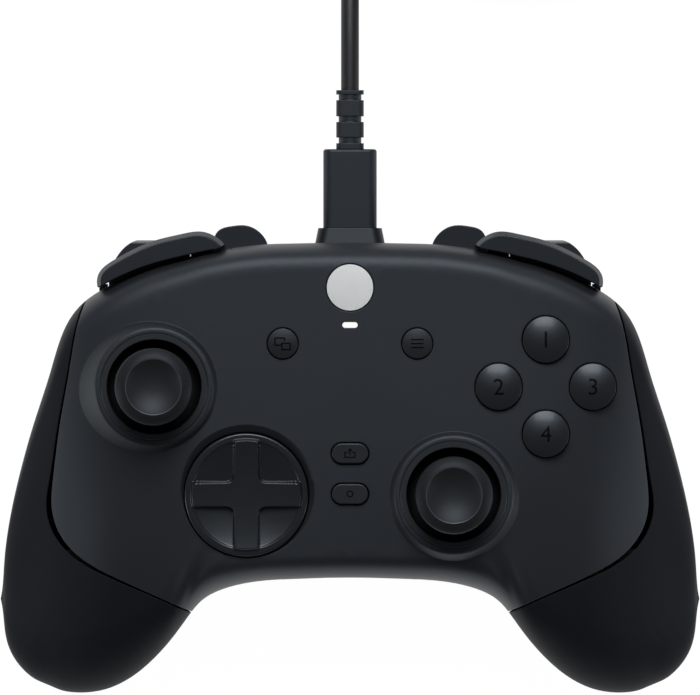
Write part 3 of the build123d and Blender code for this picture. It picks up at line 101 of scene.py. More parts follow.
class StudioSettings(bpy.types.PropertyGroup):
    view_width: length("View width", 0.160, "Width of the picture at the height of the case's widest line")
    rim_height: length("Rim height", 0.027, "Height of the case's widest line over the floor")
    camera_height: length("Camera height", 3.0, "Height of the camera over the floor")
    camera_y: length("Camera place", 0.0257, "How far the camera stands from the origin towards the cable")
    floor_half: length("Floor half width", 12.0, "Half the width of the floor")
    white: number("Floor white", 1.07, "Strength of the white that the camera sees on the floor")
    shadow: number("Shadow", 0.08, "How much of the floor's shadow shows, from 0 to 1")
    sky: number("Sky", 0.10, "Strength of the even light from all round")
    ceiling: number("Ceiling lamp", 11.5, "Strength of the soft lamp overhead, in watts")
    ceiling_side: length("Ceiling lamp's side", 0.7, "Side of the square lamp overhead")
    ceiling_y: length("Ceiling lamp's place", 0.80, "How far the lamp hangs towards the cable")
    ceiling_height: length("Ceiling lamp's height", 1.00, "Height of the lamp over the floor")
    aim: length("Ceiling lamp's aim", 0.03, "Height, and way towards the cable, of the spot it faces")
    edge: number("Edge lamps", 1.3, "Strength of each soft lamp beside the case, in watts")
    edge_width: length("Edge lamps' width", 0.2, "Width of each lamp beside the case")
    edge_depth: length("Edge lamps' depth", 0.5, "Depth of each lamp beside the case")
    edge_x: length("Edge lamps' distance", 0.75, "How far each lamp stands to its side")
    edge_y: length("Edge lamps' place", -0.15, "How far the lamps stand from the origin towards the cable")
    edge_height: length("Edge lamps' height", 0.13, "Height of the lamps over the floor")
    edge_aim: length("Edge lamps' aim", 0.02, "Height of the spot that the lamps face")


class CableSettings(bpy.types.PropertyGroup):
    diameter: length("Diameter", 0.0041, "Diameter of the cable")
    reach: length("Length", 2.997, "Length of the cable from the strain relief to the far plug")
    bend: length("Bend place", 0.104, "How far from the origin the lead starts to fall")
    landing: length("Landing place", 0.1285, "How far from the origin the lead reaches the coil's height")
    side: length("Coil radius", 0.038, "Radius of the coil's widest turns, at the middle of the cable")
    middle: length("Coil place", 0.1475, "How far the coil's middle lies from the origin along the cable")
    lift: length("Coil lift", 0.00075, "Height of the lowest turns over the floor")
    spacing: length("Turn spacing", 0.00455, "Distance between turns beside and over each other")
    tail: length("Tail", 0.024, "Straight length after the last turn")
    turns_in: count("Turns in", 8, "Half turns from the widest to the tightest")
    points: count("Points", 12, "Control points in each half turn")


class StickSettings(bpy.types.PropertyGroup):
    cap_radius: length("Cap radius", 0.00875, "Radius of the thumb caps")
    cap_thickness: length("Cap thickness", 0.0055, "Thickness of the thumb caps at their rim")
    dish_radius: length("Dish radius", 0.0062, "Radius of the dished middle")
    dish_depth: length("Dish depth", 0.0016, "Depth of the dished middle")
    neck_radius: length("Neck radius", 0.0033, "Radius of the neck under the cap")
    pivot_drop: length("Pivot drop", 0.028, "Height of the cap's top over the stick's pivot")
    skirt_radius: length("Skirt radius", 0.014, "Radius of the ball-shaped skirt round the pivot")
    skirt_wall: length("Skirt wall", 0.0012, "Thickness of the skirt")
    skirt_angle: angle("Skirt angle", math.radians(58), "How far the skirt reaches down from straight up")
    dish_power: number("Dish power", 2.2, "How steeply the dish rises to its lip")
    slope_share: number("Slope share", 0.42, "Fall of the knurled slope as a share of its width")
    slope_power: number("Slope power", 1.5, "How the knurled slope steepens outwards")
    steps: count("Steps", 128, "Faces round each cap")
    rows: count("Knurl rows", 6, "Rings of knurl teeth on each cap")
    teeth: count("Knurl teeth", 104, "Teeth in each ring")
    tooth: length("Knurl tooth", 0.00019, "Half width of a tooth")
    tooth_height: length("Tooth height", 0.00020, "Height of a tooth")


class PadSettings(bpy.types.PropertyGroup):
    radius: length("Pad radius", 0.01395, "Radius of the direction pad")
    dish_radius: length("Dish radius", 0.0124, "Radius of the dish inside the pad's rim")
    dish_depth: length("Dish depth", 0.0014, "Depth of the dish at its middle")
    rim_drop: length("Rim drop", 0.00095, "How far the rim lies under the tips of the arms")
    arm_width: length("Arm width", 0.0056, "Width of the cross's arms")
    arm_dip: length("Arm dip", 0.0008, "How far the cross's middle lies under its tips")
    side_run: length("Side run", 0.0004, "Width of the slope along each arm")
    corner: length("Corner", 0.0022, "Roundness of the cross's inner corners")
    rim_low: length("Rim depth", 0.00327, "Height from the pad's underside to the tips of the arms")
    ball_radius: length("Ball radius", 0.0077, "Radius of the ball under the pad")
    ball_drop: length("Ball drop", 0.0093, "Height from the ball's lowest point to the tips of the arms")
    rings: count("Rings", 140, "Rings of faces on the pad")
    steps: count("Steps", 320, "Faces round each ring")


class SignSettings(bpy.types.PropertyGroup):
    digit_height: length("Digit height", 0.0037, "Height of the numbers on the face buttons")
    digit_share: number("Digit share", 0.7, "Height of a number as a share of its font's size")
    face_dome: length("Face dome", 0.0009, "Height of the face buttons' domes")
    small_dome: length("Small dome", 0.0003, "Height of the round small buttons' domes")
    flange: length("Flange", 0.001, "Width of the hidden flange round a round button")
    round_sign: length("Round sign", 0.0030, "Unit of the signs on the round buttons")
    pill_sign: length("Pill sign", 0.0022, "Unit of the signs on the pill buttons")
    stroke: length("Stroke", 0.00032, "Width of the signs' lines")
    pill_stroke_share: number("Pill stroke share", 0.85, "Width of the pill signs' lines, as a share")
    proud: length("Sign height", 0.00004, "How far signs and numbers stand proud")
    grain: length("Grid", 0.0003, "Spacing of the cuts that let a sign follow its button")


class FinishSettings(bpy.types.PropertyGroup):
    case: colour("Case", (0.0135, 0.0150, 0.0185), "Matte plastic of the face plate and rear cover")
    grip: colour("Grips", (0.0085, 0.0095, 0.0125), "Soft touch plastic of the grip covers")
    button: colour("Buttons", (0.0110, 0.0120, 0.0145), "Glossy plastic of the buttons")
    rubber: colour("Rubber", (0.0120, 0.0125, 0.0140), "Rubber of the thumb caps and pads")
    pale: colour("Home button", (0.80, 0.82, 0.83), "Pale translucent plastic of the home button")
    glow: colour("Light", (1.0, 0.98, 0.94), "Status light")
    steel: colour("Steel", (0.56, 0.56, 0.58), "Bright steel of pins, screws and shells")
    board: colour("Board", (0.010, 0.085, 0.035), "Solder mask of the circuit board")
    copper: colour("Copper", (0.72, 0.42, 0.20), "Plated copper of the board's tracks")
    sign: colour("Signs", (0.0030, 0.0032, 0.0040), "Printed signs and numbers")
    # The lip colour is a painted highlight: a lighter band round the dish of the thumb caps that stands in
    # for the light line along the lip
    lip: colour("Lip", (0.045, 0.047, 0.052), "Worn bright lip round the dish of the thumb caps")
    tie: colour("Strap", (0.020, 0.021, 0.024), "Woven strap of the stored cable")
    port: colour("Sockets", (0.006, 0.0065, 0.008), "Plastic round the cable socket and the headset jack")
    inner: colour("Inner plastic", (0.035, 0.036, 0.040), "Plastic of the frame and the stick housings")
    spring: colour("Springs", (0.44, 0.44, 0.46), "Steel of the trigger springs")
    weight: colour("Weights", (0.34, 0.33, 0.31), "Heavy metal of the motors' weights")


settings_groups = {
    "gamepad_studio": StudioSettings,
    "gamepad_cable": CableSettings,
    "gamepad_sticks": StickSettings,
    "gamepad_pad": PadSettings,
    "gamepad_signs": SignSettings,
    "gamepad_finishes": FinishSettings,
}


# Node trees written as expressions


class Value:
    """A number socket of a node tree. A sum with it adds the Math nodes that it needs."""

    def __init__(self, recipe, socket):
        self.recipe = recipe
        self.socket = socket

    def math(self, operation, *operands):
        """A Math node on the operands, or on this number alone."""
        inputs = dict(enumerate(operands or (self,)))
        made = self.recipe.node("ShaderNodeMath", {"operation": operation}, inputs)
        return Value(self.recipe, made.outputs[0])

    def __add__(self, other):
        return self.math("ADD", self, other)

    def __radd__(self, other):
        return self.math("ADD", other, self)

    def __sub__(self, other):
        return self.math("SUBTRACT", self, other)

    def __rsub__(self, other):
        return self.math("SUBTRACT", other, self)

    def __mul__(self, other):
        return self.math("MULTIPLY", self, other)

    def __rmul__(self, other):
        return self.math("MULTIPLY", other, self)

    def __truediv__(self, other):
        return self.math("DIVIDE", self, other)


class Recipe:
    """A node tree under construction."""

    def __init__(self, tree):
        self.tree = tree

    def node(self, kind, settings=None, inputs=None):
        """Any node, with its settings first and then the values or links of its sockets."""
        made = self.tree.nodes.new(kind)
        for key, value in (settings or {}).items():
            setattr(made, key, value)
        for key, value in (inputs or {}).items():
            self.feed(made.inputs[key], value)
        return made

    def feed(self, socket, value):
        if isinstance(value, Value):
            value = value.socket
        if isinstance(value, bpy.types.NodeSocket):
            self.tree.links.new(value, socket)
        else:
            socket.default_value = value


class Finish(Recipe):
    """A material under construction, with a Principled surface."""

    def __init__(self, name, **fixed):
        self.material = bpy.data.materials.new(name)
        self.material.use_nodes = True
        super().__init__(self.material.node_tree)
        self.tree.nodes.clear()
        self.surface = self.node("ShaderNodeBsdfPrincipled")
        self.node("ShaderNodeOutputMaterial", None, {"Surface": self.surface.outputs[0]})
        for key, value in fixed.items():
            self.surface.inputs[key.replace("_", " ").title().replace("Ior", "IOR")].default_value = value
        self.place = self.node("ShaderNodeTexCoord").outputs["Object"]

    def noise(self, scale, detail=2.0, place=None):
        made = self.node("ShaderNodeTexNoise", {"noise_dimensions": "3D"},
                         {"Vector": place or self.place, "Scale": scale, "Detail": detail})
        return Value(self, made.outputs[0])

    def cells(self, scale):
        made = self.node("ShaderNodeTexVoronoi", {"feature": "F1"}, {"Vector": self.place, "Scale": scale})
        return Value(self, made.outputs["Distance"])

    def mask(self, value, low, high):
        """Rises softly from 0 to 1 as the value goes from low to high."""
        made = self.node("ShaderNodeMapRange", {"interpolation_type": "SMOOTHSTEP"},
                         {"Value": value, "From Min": low, "From Max": high})
        return Value(self, made.outputs[0])

    def mix(self, share, first, second):
        made = self.node("ShaderNodeMix", {"data_type": "RGBA"}, {0: share, 6: first, 7: second})
        return made.outputs[2]

    def axes(self):
        made = self.node("ShaderNodeSeparateXYZ", None, {0: self.place})
        return [Value(self, socket) for socket in made.outputs]

    def bump(self, height, depth, strength, edge=0.0):
        """Relief of a depth, over edges that are rounded by a radius."""
        inputs = {"Height": height, "Distance": depth, "Strength": strength}
        if edge:
            inputs["Normal"] = self.node("ShaderNodeBevel", {"samples": 6}, {"Radius": edge}).outputs[0]
        return self.node("ShaderNodeBump", None, inputs).outputs[0]

    def set(self, **values):
        for key, value in values.items():
            self.feed(self.surface.inputs[key.replace("_", " ").title()], value)
        return self.material


def solid(tint, shade=1.0):
    """A colour with its alpha, made lighter or darker."""
    return (*[shade * part for part in tint], 1.0)


# Finishes

cool = (0.76, 0.88, 1.0, 1.0)

# Depths of relief from the faintest up, how far light soaks into the pale plastic,
# the pitch of the strap's threads, and radii of softened edges
brushed_depth = 0.00001
smear_depth = 0.00002
grain_depth = 0.00003
pit_depth = 0.00004
weave_depth = 0.0001
soak_depth = 0.001
thread_pitch = 0.0006
small_edge = 0.0002
button_edge = 0.00025
plastic_edge = 0.0003
case_edge = 0.00035
soft_edge = 0.0004


def moulded(name, tint, roughness, grain, edge=0.0, level=0.5):
    """Moulded plastic: a fine spark-eroded grain, slight unevenness of colour and soft edges."""
    finish = Finish(name, specular_ior_level=level, specular_tint=cool)
    cloud = finish.noise(scale=38.0, detail=3.0)
    fine = finish.noise(scale=grain, detail=3.0)
    return finish.set(
        base_color=finish.mix(cloud, solid(tint, 0.88), solid(tint, 1.12)),
        roughness=roughness - 0.03 + 0.06 * cloud + 0.05 * (fine - 0.5),
        normal=finish.bump(fine, grain_depth, strength=0.5, edge=edge),
    )


def soft_touch(name, tint, roughness, edge):
    """Soft touch plastic of the grips: a dense pattern of tiny domes."""
    finish = Finish(name, specular_ior_level=0.13, specular_tint=cool)
    cloud = finish.noise(scale=30.0, detail=3.0)
    pits = finish.cells(scale=2600.0)
    return finish.set(
        base_color=finish.mix(cloud, solid(tint, 0.9), solid(tint, 1.12)),
        roughness=roughness - 0.03 + 0.06 * cloud,
        normal=finish.bump(pits, pit_depth, strength=0.45, edge=edge),
    )


def polished(name, tint, roughness, edge=0.0, coat=0.0):
    """Polished plastic with faint smears and the slight waviness of a moulding."""
    finish = Finish(name, specular_ior_level=0.5, coat_roughness=0.12, specular_tint=cool)
    smear = finish.noise(scale=95.0, detail=4.0)
    dust = finish.mask(finish.noise(scale=2400.0, detail=1.0), low=0.62, high=0.72)
    return finish.set(
        base_color=finish.mix(smear, solid(tint, 0.92), solid(tint, 1.1)),
        roughness=roughness + 0.05 * smear + 0.04 * dust,
        coat_weight=coat * (1.0 - 0.3 * smear),
        normal=finish.bump(smear, smear_depth, strength=0.3, edge=edge),
    )


def metal(name, tint, roughness):
    """Drawn or stamped metal with fine brushed lines."""
    finish = Finish(name, metallic=1.0)
    x, y, z = finish.axes()
    spread = finish.node("ShaderNodeCombineXYZ", None, {0: 9.0 * x, 1: y, 2: 9.0 * z}).outputs[0]
    lines = finish.noise(scale=700.0, place=spread)
    return finish.set(
        base_color=finish.mix(lines, solid(tint, 0.86), solid(tint, 1.04)),
        roughness=roughness + 0.16 * lines,
        normal=finish.bump(lines, brushed_depth, strength=0.4),
    )


def translucent(name, tint):
    """Pale plastic of the home button, a little uneven in depth."""
    finish = Finish(name, specular_ior_level=0.5, subsurface_weight=0.15, subsurface_scale=soak_depth)
    cloud = finish.noise(scale=160.0, detail=3.0)
    return finish.set(
        base_color=finish.mix(cloud, solid(tint, 0.95), solid(tint, 1.03)),
        roughness=0.32 + 0.06 * cloud,
        normal=finish.bump(cloud, brushed_depth, strength=0.3, edge=small_edge),
    )


def glowing(name, tint):
    """The status light's window: bright in the middle and weaker at the rim."""
    finish = Finish(name, emission_strength=0.42)
    low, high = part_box("status_light_lens")
    x, y, _ = finish.axes()
    across = (x - (low.x + high.x) / 2) / ((high.x - low.x) / 2)
    along = (y - (low.y + high.y) / 2) / ((high.y - low.y) / 2)
    far = finish.mask(across * across * across * across + along * along, low=0.1, high=1.3)
    shine = finish.mix(far, solid(tint), solid(tint, 0.72))
    return finish.set(base_color=shine, emission_color=shine, roughness=0.3 + 0.1 * far)


def circuit(name, tint, copper):
    """Solder mask over copper tracks, with plated pads."""
    finish = Finish(name, specular_ior_level=0.5)
    lanes = finish.node("ShaderNodeTexBrick", {"offset": 0.5, "squash": 1.0}, {
        "Vector": finish.place, "Scale": 120.0, "Mortar Size": 0.012,
        "Brick Width": 0.9, "Row Height": 0.22,
    })
    track = Value(finish, lanes.outputs["Fac"])
    pads = 1.0 - finish.mask(finish.cells(scale=260.0), low=0.10, high=0.14)
    mask_tone = finish.mix(track, solid(tint), solid(tint, 1.9))
    return finish.set(
        base_color=finish.mix(pads, mask_tone, solid(copper)),
        metallic=pads,
        roughness=0.34 - 0.08 * track,
        normal=finish.bump(track + pads, grain_depth, strength=0.5),
    )


def woven(name, tint):
    """Hook-and-loop strap: crossed threads, a little fuzzy."""
    finish = Finish(name, specular_ior_level=0.2)
    x, y, z = finish.axes()
    warp = (full_turn / thread_pitch * x).math("SINE")
    weft = (full_turn / thread_pitch * (y + z)).math("SINE")
    fuzz = finish.noise(scale=1800.0, detail=3.0)
    weave = finish.mask(warp * weft, low=-0.6, high=0.6)
    return finish.set(
        base_color=finish.mix(weave, solid(tint, 0.6), solid(tint, 1.4)),
        roughness=0.86 + 0.1 * fuzz,
        normal=finish.bump(weave + fuzz, weave_depth, strength=0.6),
    )


def jacket(name, tint):
    """Cable jacket: smooth, slightly waxy, with faint unevenness."""
    finish = Finish(name, specular_ior_level=0.45)
    wave = finish.noise(scale=240.0)
    fine = finish.noise(scale=4200.0)
    return finish.set(
        base_color=finish.mix(wave, solid(tint, 0.9), solid(tint, 1.15)),
        roughness=0.46 + 0.08 * wave,
        normal=finish.bump(fine + wave, grain_depth, strength=0.35),
    )


def ink(name, tint, roughness):
    """Printed or inlaid signs, slightly worn."""
    finish = Finish(name, specular_ior_level=0.06)
    wear = finish.noise(scale=900.0, detail=3.0)
    return finish.set(
        base_color=finish.mix(wear, solid(tint, 0.88), solid(tint, 1.1)),
        roughness=roughness + 0.05 * wear,
        normal=finish.bump(wear, brushed_depth, strength=0.3),
    )


def make_finishes(colours):
    """Every finish by its name in this script."""
    return {
        "case": moulded("matte_case", colours.case, 0.50, grain=4200.0, edge=case_edge),
        "rear": moulded("matte_rear", colours.case, 0.55, grain=3600.0, edge=soft_edge),
        "grip": soft_touch("soft_touch_grip", colours.grip, 0.60, edge=soft_edge),
        "pad": soft_touch("rubber_pad", colours.rubber, 0.70, edge=plastic_edge),
        "bumper": moulded("satin_bumper", colours.case, 0.34, grain=5200.0, edge=soft_edge),
        "button": polished("polished_button", colours.button, 0.34, edge=button_edge, coat=0.12),
        "small": polished("satin_small_button", colours.button, 0.36, edge=small_edge),
        "gloss": polished("glossy_pad", colours.button, 0.27, coat=0.15),
        "gate": polished("gate_ring", colours.rubber, 0.42),
        "rubber": moulded("stick_rubber", colours.rubber, 0.50, grain=3000.0, edge=small_edge, level=0.4),
        "knurl": moulded("knurled_rubber", colours.rubber, 0.50, grain=3000.0, level=0.26),
        # Lighter lip band round the thumb caps' dish: a painted highlight
        "lip": moulded("painted_highlight_lip", colours.lip, 0.35, grain=3000.0),
        "pale": translucent("pale_home_button", colours.pale),
        "glow": glowing("status_light_window", colours.glow),
        "inner": moulded("inner_plastic", colours.inner, 0.60, grain=2600.0, edge=small_edge),
        "dark": moulded("port_plastic", colours.port, 0.42, grain=4200.0, edge=plastic_edge),
        "plug": moulded("plug_plastic", colours.case, 0.46, grain=3800.0, edge=plastic_edge),
        "steel": metal("brushed_steel", colours.steel, 0.24),
        "spring": metal("spring_steel", colours.spring, 0.30),
        "weight": metal("tungsten_weight", colours.weight, 0.40),
        "board": circuit("circuit_board", colours.board, colours.copper),
        "cable": jacket("cable_jacket", colours.grip),
        "tie": woven("woven_strap", colours.tie),
        "digit": ink("inlaid_number", colours.sign, 0.35),
        "sign": ink("printed_sign", colours.sign, 0.40),
    }


finishes = {}
merge_distance = 0.000002
sign_angle = math.radians(28)
cap_angle = math.radians(50)
pad_angle = math.radians(60)


# Making pieces


def link(piece):
    bpy.context.scene.collection.objects.link(piece)
    return piece


def body_of(node):
    return frame["nodes"][node]["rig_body"]


def finished(name, shape, finish, body, nodes=(), sharp=sign_angle):
    """Turns a bmesh into a smooth shaded piece on its body, standing for its nodes."""
    mesh = bpy.data.meshes.new(name)
    shape.to_mesh(mesh)
    shape.free()
    mesh.materials.append(finishes[finish])
    mesh.shade_smooth()
    mesh.set_sharp_from_angle(angle=sharp)
    piece = link(bpy.data.objects.new(name, mesh))
    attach(piece, body)
    if nodes:
        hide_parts(*nodes)
    return piece


def repainted(node, finish):
    """A node that stays as it is, with a better finish."""
    mesh = frame["nodes"][node].data
    mesh.materials.clear()
    mesh.materials.append(finishes[finish])


def lathe(shape, middle, profile, steps):
    """Turns a profile round an upright axis. A height may be a function of the place."""
    rings = []
    for radius, height in profile:
        total = 1 if radius < merge_distance else steps
        ring = []
        for step in range(total):
            x = radius * math.cos(full_turn * step / total)
            y = radius * math.sin(full_turn * step / total)
            ring.append(shape.verts.new((
                middle[0] + x, middle[1] + y, height(x, y) if callable(height) else height,
            )))
        rings.append(ring)
    for upper, lower in zip(rings, rings[1:]):
        for step in range(steps):
            after = (step + 1) % steps
            corners = [
                upper[step % len(upper)], lower[step % len(lower)],
                lower[after % len(lower)], upper[after % len(upper)],
            ]
            shape.faces.new(list(dict.fromkeys(corners)))
    bmesh.ops.recalc_face_normals(shape, faces=shape.faces)


def arc(middle, radius, start, end, steps):
    """Points of an arc between two angles from the first axis, both ends included."""
    turns = [start + (end - start) * step / steps for step in range(steps + 1)]
    return [(middle[0] + radius * math.cos(turn), middle[1] + radius * math.sin(turn)) for turn in turns]


def middle_of(node):
    low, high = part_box(node)
    return (low + high) / 2


def top_of(node):
    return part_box(node)[1].z


def plain_mesh(holder):
    """The evaluated mesh of a helper object, which is then removed."""
    bpy.context.view_layer.update()
    graph = bpy.context.evaluated_depsgraph_get()
    mesh = bpy.data.meshes.new_from_object(holder.evaluated_get(graph))
    holder.modifiers.clear()
    bpy.data.objects.remove(holder)
    return mesh


def span(verts):
    """Lowest and highest corner of flat vertices, on the floor."""
    xs = [vert.co.x for vert in verts]
    ys = [vert.co.y for vert in verts]
    return Vector((min(xs), min(ys), 0)), Vector((max(xs), max(ys), 0))


# Stage


def area_lamp(name, place, target, width, depth, strength):
    data = bpy.data.lights.new(name, "AREA")
    data.shape = "RECTANGLE"
    data.size = width
    data.size_y = depth
    data.energy = strength
    lamp = link(bpy.data.objects.new(name, data))
    lamp.location = place
    lamp.rotation_mode = "QUATERNION"
    lamp.rotation_quaternion = (Vector(target) - Vector(place)).to_track_quat("-Z", "Y")
    lamp.visible_camera = False


def seen_directly(recipe):
    """One for what the camera sees directly, in a mirror or through glass, and zero for light."""
    path = recipe.node("ShaderNodeLightPath")
    rays = [Value(recipe, path.outputs[key])
            for key in ("Is Camera Ray", "Is Glossy Ray", "Is Transmission Ray")]
    total = rays[0] + rays[1] + rays[2]
    return Value(recipe, recipe.node("ShaderNodeClamp", None, {0: total}).outputs[0])


def floor_finish(sizes):
    """A pale floor that shows white from above, keeps a part of its shadow and is clear from below."""
    material = bpy.data.materials.new("pale_floor")
    material.use_nodes = True
    recipe = Recipe(material.node_tree)
    recipe.tree.nodes.clear()
    paper = recipe.node("ShaderNodeBsdfDiffuse", None, {"Color": (0.8, 0.8, 0.8, 1)})
    white = recipe.node("ShaderNodeEmission", None, {"Color": (1, 1, 1, 1), "Strength": sizes.white})
    share = seen_directly(recipe) * (1.0 - sizes.shadow)
    lit = recipe.node("ShaderNodeMixShader", None, {0: share, 1: paper.outputs[0], 2: white.outputs[0]})
    clear = recipe.node("ShaderNodeBsdfTransparent")
    under = recipe.node("ShaderNodeNewGeometry").outputs["Backfacing"]
    both = recipe.node("ShaderNodeMixShader", None, {0: under, 1: lit.outputs[0], 2: clear.outputs[0]})
    recipe.node("ShaderNodeOutputMaterial", None, {"Surface": both.outputs[0]})
    return material


def build_camera(sizes):
    data = bpy.data.cameras.new("camera")
    data.lens = data.sensor_width * (sizes.camera_height - sizes.rim_height) / sizes.view_width
    data.clip_end = 4 * sizes.camera_height
    camera = link(bpy.data.objects.new("camera", data))
    camera.location = (0, sizes.camera_y, sizes.camera_height)
    bpy.context.scene.camera = camera


def build_floor(sizes):
    shape = bmesh.new()
    half = sizes.floor_half
    shape.faces.new([shape.verts.new(corner) for corner in
                     ((-half, -half, 0), (half, -half, 0), (half, half, 0), (-half, half, 0))])
    mesh = bpy.data.meshes.new("floor")
    shape.to_mesh(mesh)
    shape.free()
    mesh.materials.append(floor_finish(sizes))
    link(bpy.data.objects.new("floor", mesh))


def build_sky(sizes):
    world = bpy.data.worlds.new("even_light")
    world.use_nodes = True
    bpy.context.scene.world = world
    recipe = Recipe(world.node_tree)
    recipe.tree.nodes.clear()
    path = recipe.node("ShaderNodeLightPath")
    direct = Value(recipe, path.outputs["Is Camera Ray"])
    strength = sizes.sky + (1.0 - sizes.sky) * direct
    sky = recipe.node("ShaderNodeBackground", None, {"Color": (1, 1, 1, 1), "Strength": strength})
    recipe.node("ShaderNodeOutputWorld", None, {"Surface": sky.outputs[0]})


def build_lamps(sizes):
    place = (0, sizes.ceiling_y, sizes.ceiling_height)
    target = (0, sizes.aim, sizes.aim)
    area_lamp("ceiling_lamp", place, target, sizes.ceiling_side, sizes.ceiling_side, sizes.ceiling)
    for side, word in ((-1, "left"), (1, "right")):
        place = (side * sizes.edge_x, sizes.edge_y, sizes.edge_height)
        target = (0, 0, sizes.edge_aim)
        area_lamp(f"{word}_edge_lamp", place, target, sizes.edge_width, sizes.edge_depth, sizes.edge)


def build_studio(sizes):
    bpy.context.scene.view_settings.view_transform = "Standard"
    build_camera(sizes)
    build_floor(sizes)
    build_sky(sizes)
    build_lamps(sizes)


# Cable


def cable_points(sizes):
    """Control points of the cable: the lead, the coil's half turns and the straight tail."""
    relief_low, relief_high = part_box("strain_relief")
    top = sizes.lift + sizes.diameter / 2 + 3 * sizes.spacing
    height = (relief_low.z + relief_high.z) / 2
    points = [
        Vector((0, relief_high.y, height)),
        Vector((0, sizes.bend, height)),
        Vector((0, sizes.landing, top)),
        Vector((0, sizes.middle, top)),
    ]
    inward = list(range(sizes.turns_in))
    outward = list(range(sizes.turns_in, 0, -1))
    steps = inward + outward + inward + outward

    # The cable drops by a layer in each half turn where the spiral reverses
    drops = {sizes.turns_in, 2 * sizes.turns_in, 3 * sizes.turns_in}
    x, z, way = 0.0, top, 1
    part = half_turn / sizes.points
    for place, step in enumerate(steps):
        radius = sizes.side - step * sizes.spacing / 2
        fall = sizes.spacing if place in drops else 0.0
        outer = radius / math.cos(part / 2)
        for index in range(sizes.points):
            bearing = (index + 0.5) * part
            points.append(Vector((
                x + way * (radius - outer * math.cos(bearing)),
                sizes.middle + way * outer * math.sin(bearing),
                z - fall * bearing / half_turn,
            )))
        x, z, way = x + way * 2 * radius, z - fall, -way
    points += [Vector((x, sizes.middle + share * sizes.tail, z)) for share in (0.0, 0.5, 1.0)]
    return points


def build_cable(sizes):
    points = cable_points(sizes)
    curve = bpy.data.curves.new("cable", "CURVE")
    curve.dimensions = "3D"
    curve.resolution_u = 4
    curve.bevel_depth = sizes.diameter / 2
    curve.bevel_resolution = 4
    curve.use_fill_caps = True
    spline = curve.splines.new("NURBS")
    spline.points.add(len(points) - 1)
    for point, place in zip(spline.points, points):
        point.co = (*place, 1)
    spline.order_u = 3
    spline.use_endpoint_u = True
    curve.materials.append(finishes["cable"])
    cable = link(bpy.data.objects.new("cable", curve))
    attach(cable, "root")
    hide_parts("cable_lead", "cable_coil")


# Covers


def build_covers():
    repainted("front_cover", "case")
    repainted("rear_cover", "rear")
    for side in ("left", "right"):
        repainted(f"{side}_grip_cover", "grip")
        repainted(f"{side}_rear_grip", "pad")


# Thumb sticks


def lip_of(sizes):
    """Width of the band from the dish to the knurled slope."""
    return (sizes.cap_radius - sizes.dish_radius) / 6


def slope_fall(sizes):
    """How far the knurled slope falls from the lip to the rim."""
    return sizes.slope_share * (sizes.cap_radius - sizes.dish_radius)


def cap_profile(sizes, top):
    """Half of the thumb cap's section, from the middle of the dish round to the skirt's inside."""
    dish, rim, lip = sizes.dish_radius, sizes.cap_radius, lip_of(sizes)
    low = top - sizes.cap_thickness
    shoulder = top - lip / 6
    foot = shoulder - slope_fall(sizes)
    slope = rim - dish - 1.5 * lip
    dish_shares = [step / 12 for step in range(12)]
    points = [
        (dish * share, top - lip / 4 - sizes.dish_depth * (1 - share ** sizes.dish_power))
        for share in dish_shares
    ]
    points += [(dish, top - lip / 4), (dish + lip / 4, top - lip / 16), (dish + lip / 2, top)]
    points += [
        (dish + lip + slope * share, shoulder + (foot - shoulder) * share ** sizes.slope_power)
        for share in (0.0, 0.2, 0.4, 0.6, 0.8, 1.0)
    ]
    points += [
        (rim - lip / 6, foot - lip / 2),
        (rim, foot - lip),
        (rim, low + 2 * lip),
        (rim - lip / 3, low + lip),
        (rim - lip, low + lip / 3),
        (rim - 2 * lip, low),
        (sizes.neck_radius + lip, low),
        (sizes.neck_radius, low - lip),
    ]
    pivot = (0, top - sizes.pivot_drop)
    first = math.acos(sizes.neck_radius / sizes.skirt_radius)
    last = quarter_turn - sizes.skirt_angle
    points += arc(pivot, sizes.skirt_radius, first, last, 16)
    points += arc(pivot, sizes.skirt_radius - sizes.skirt_wall, last, quarter_turn, 14)
    return points


knurl_numbers = (
    "Inner Radius", "Outer Radius", "Top", "Fall", "Slope Power",
    "Tooth", "Tooth Height", "Middle X", "Middle Y",
)
knurl_counts = ("Rows", "Teeth")


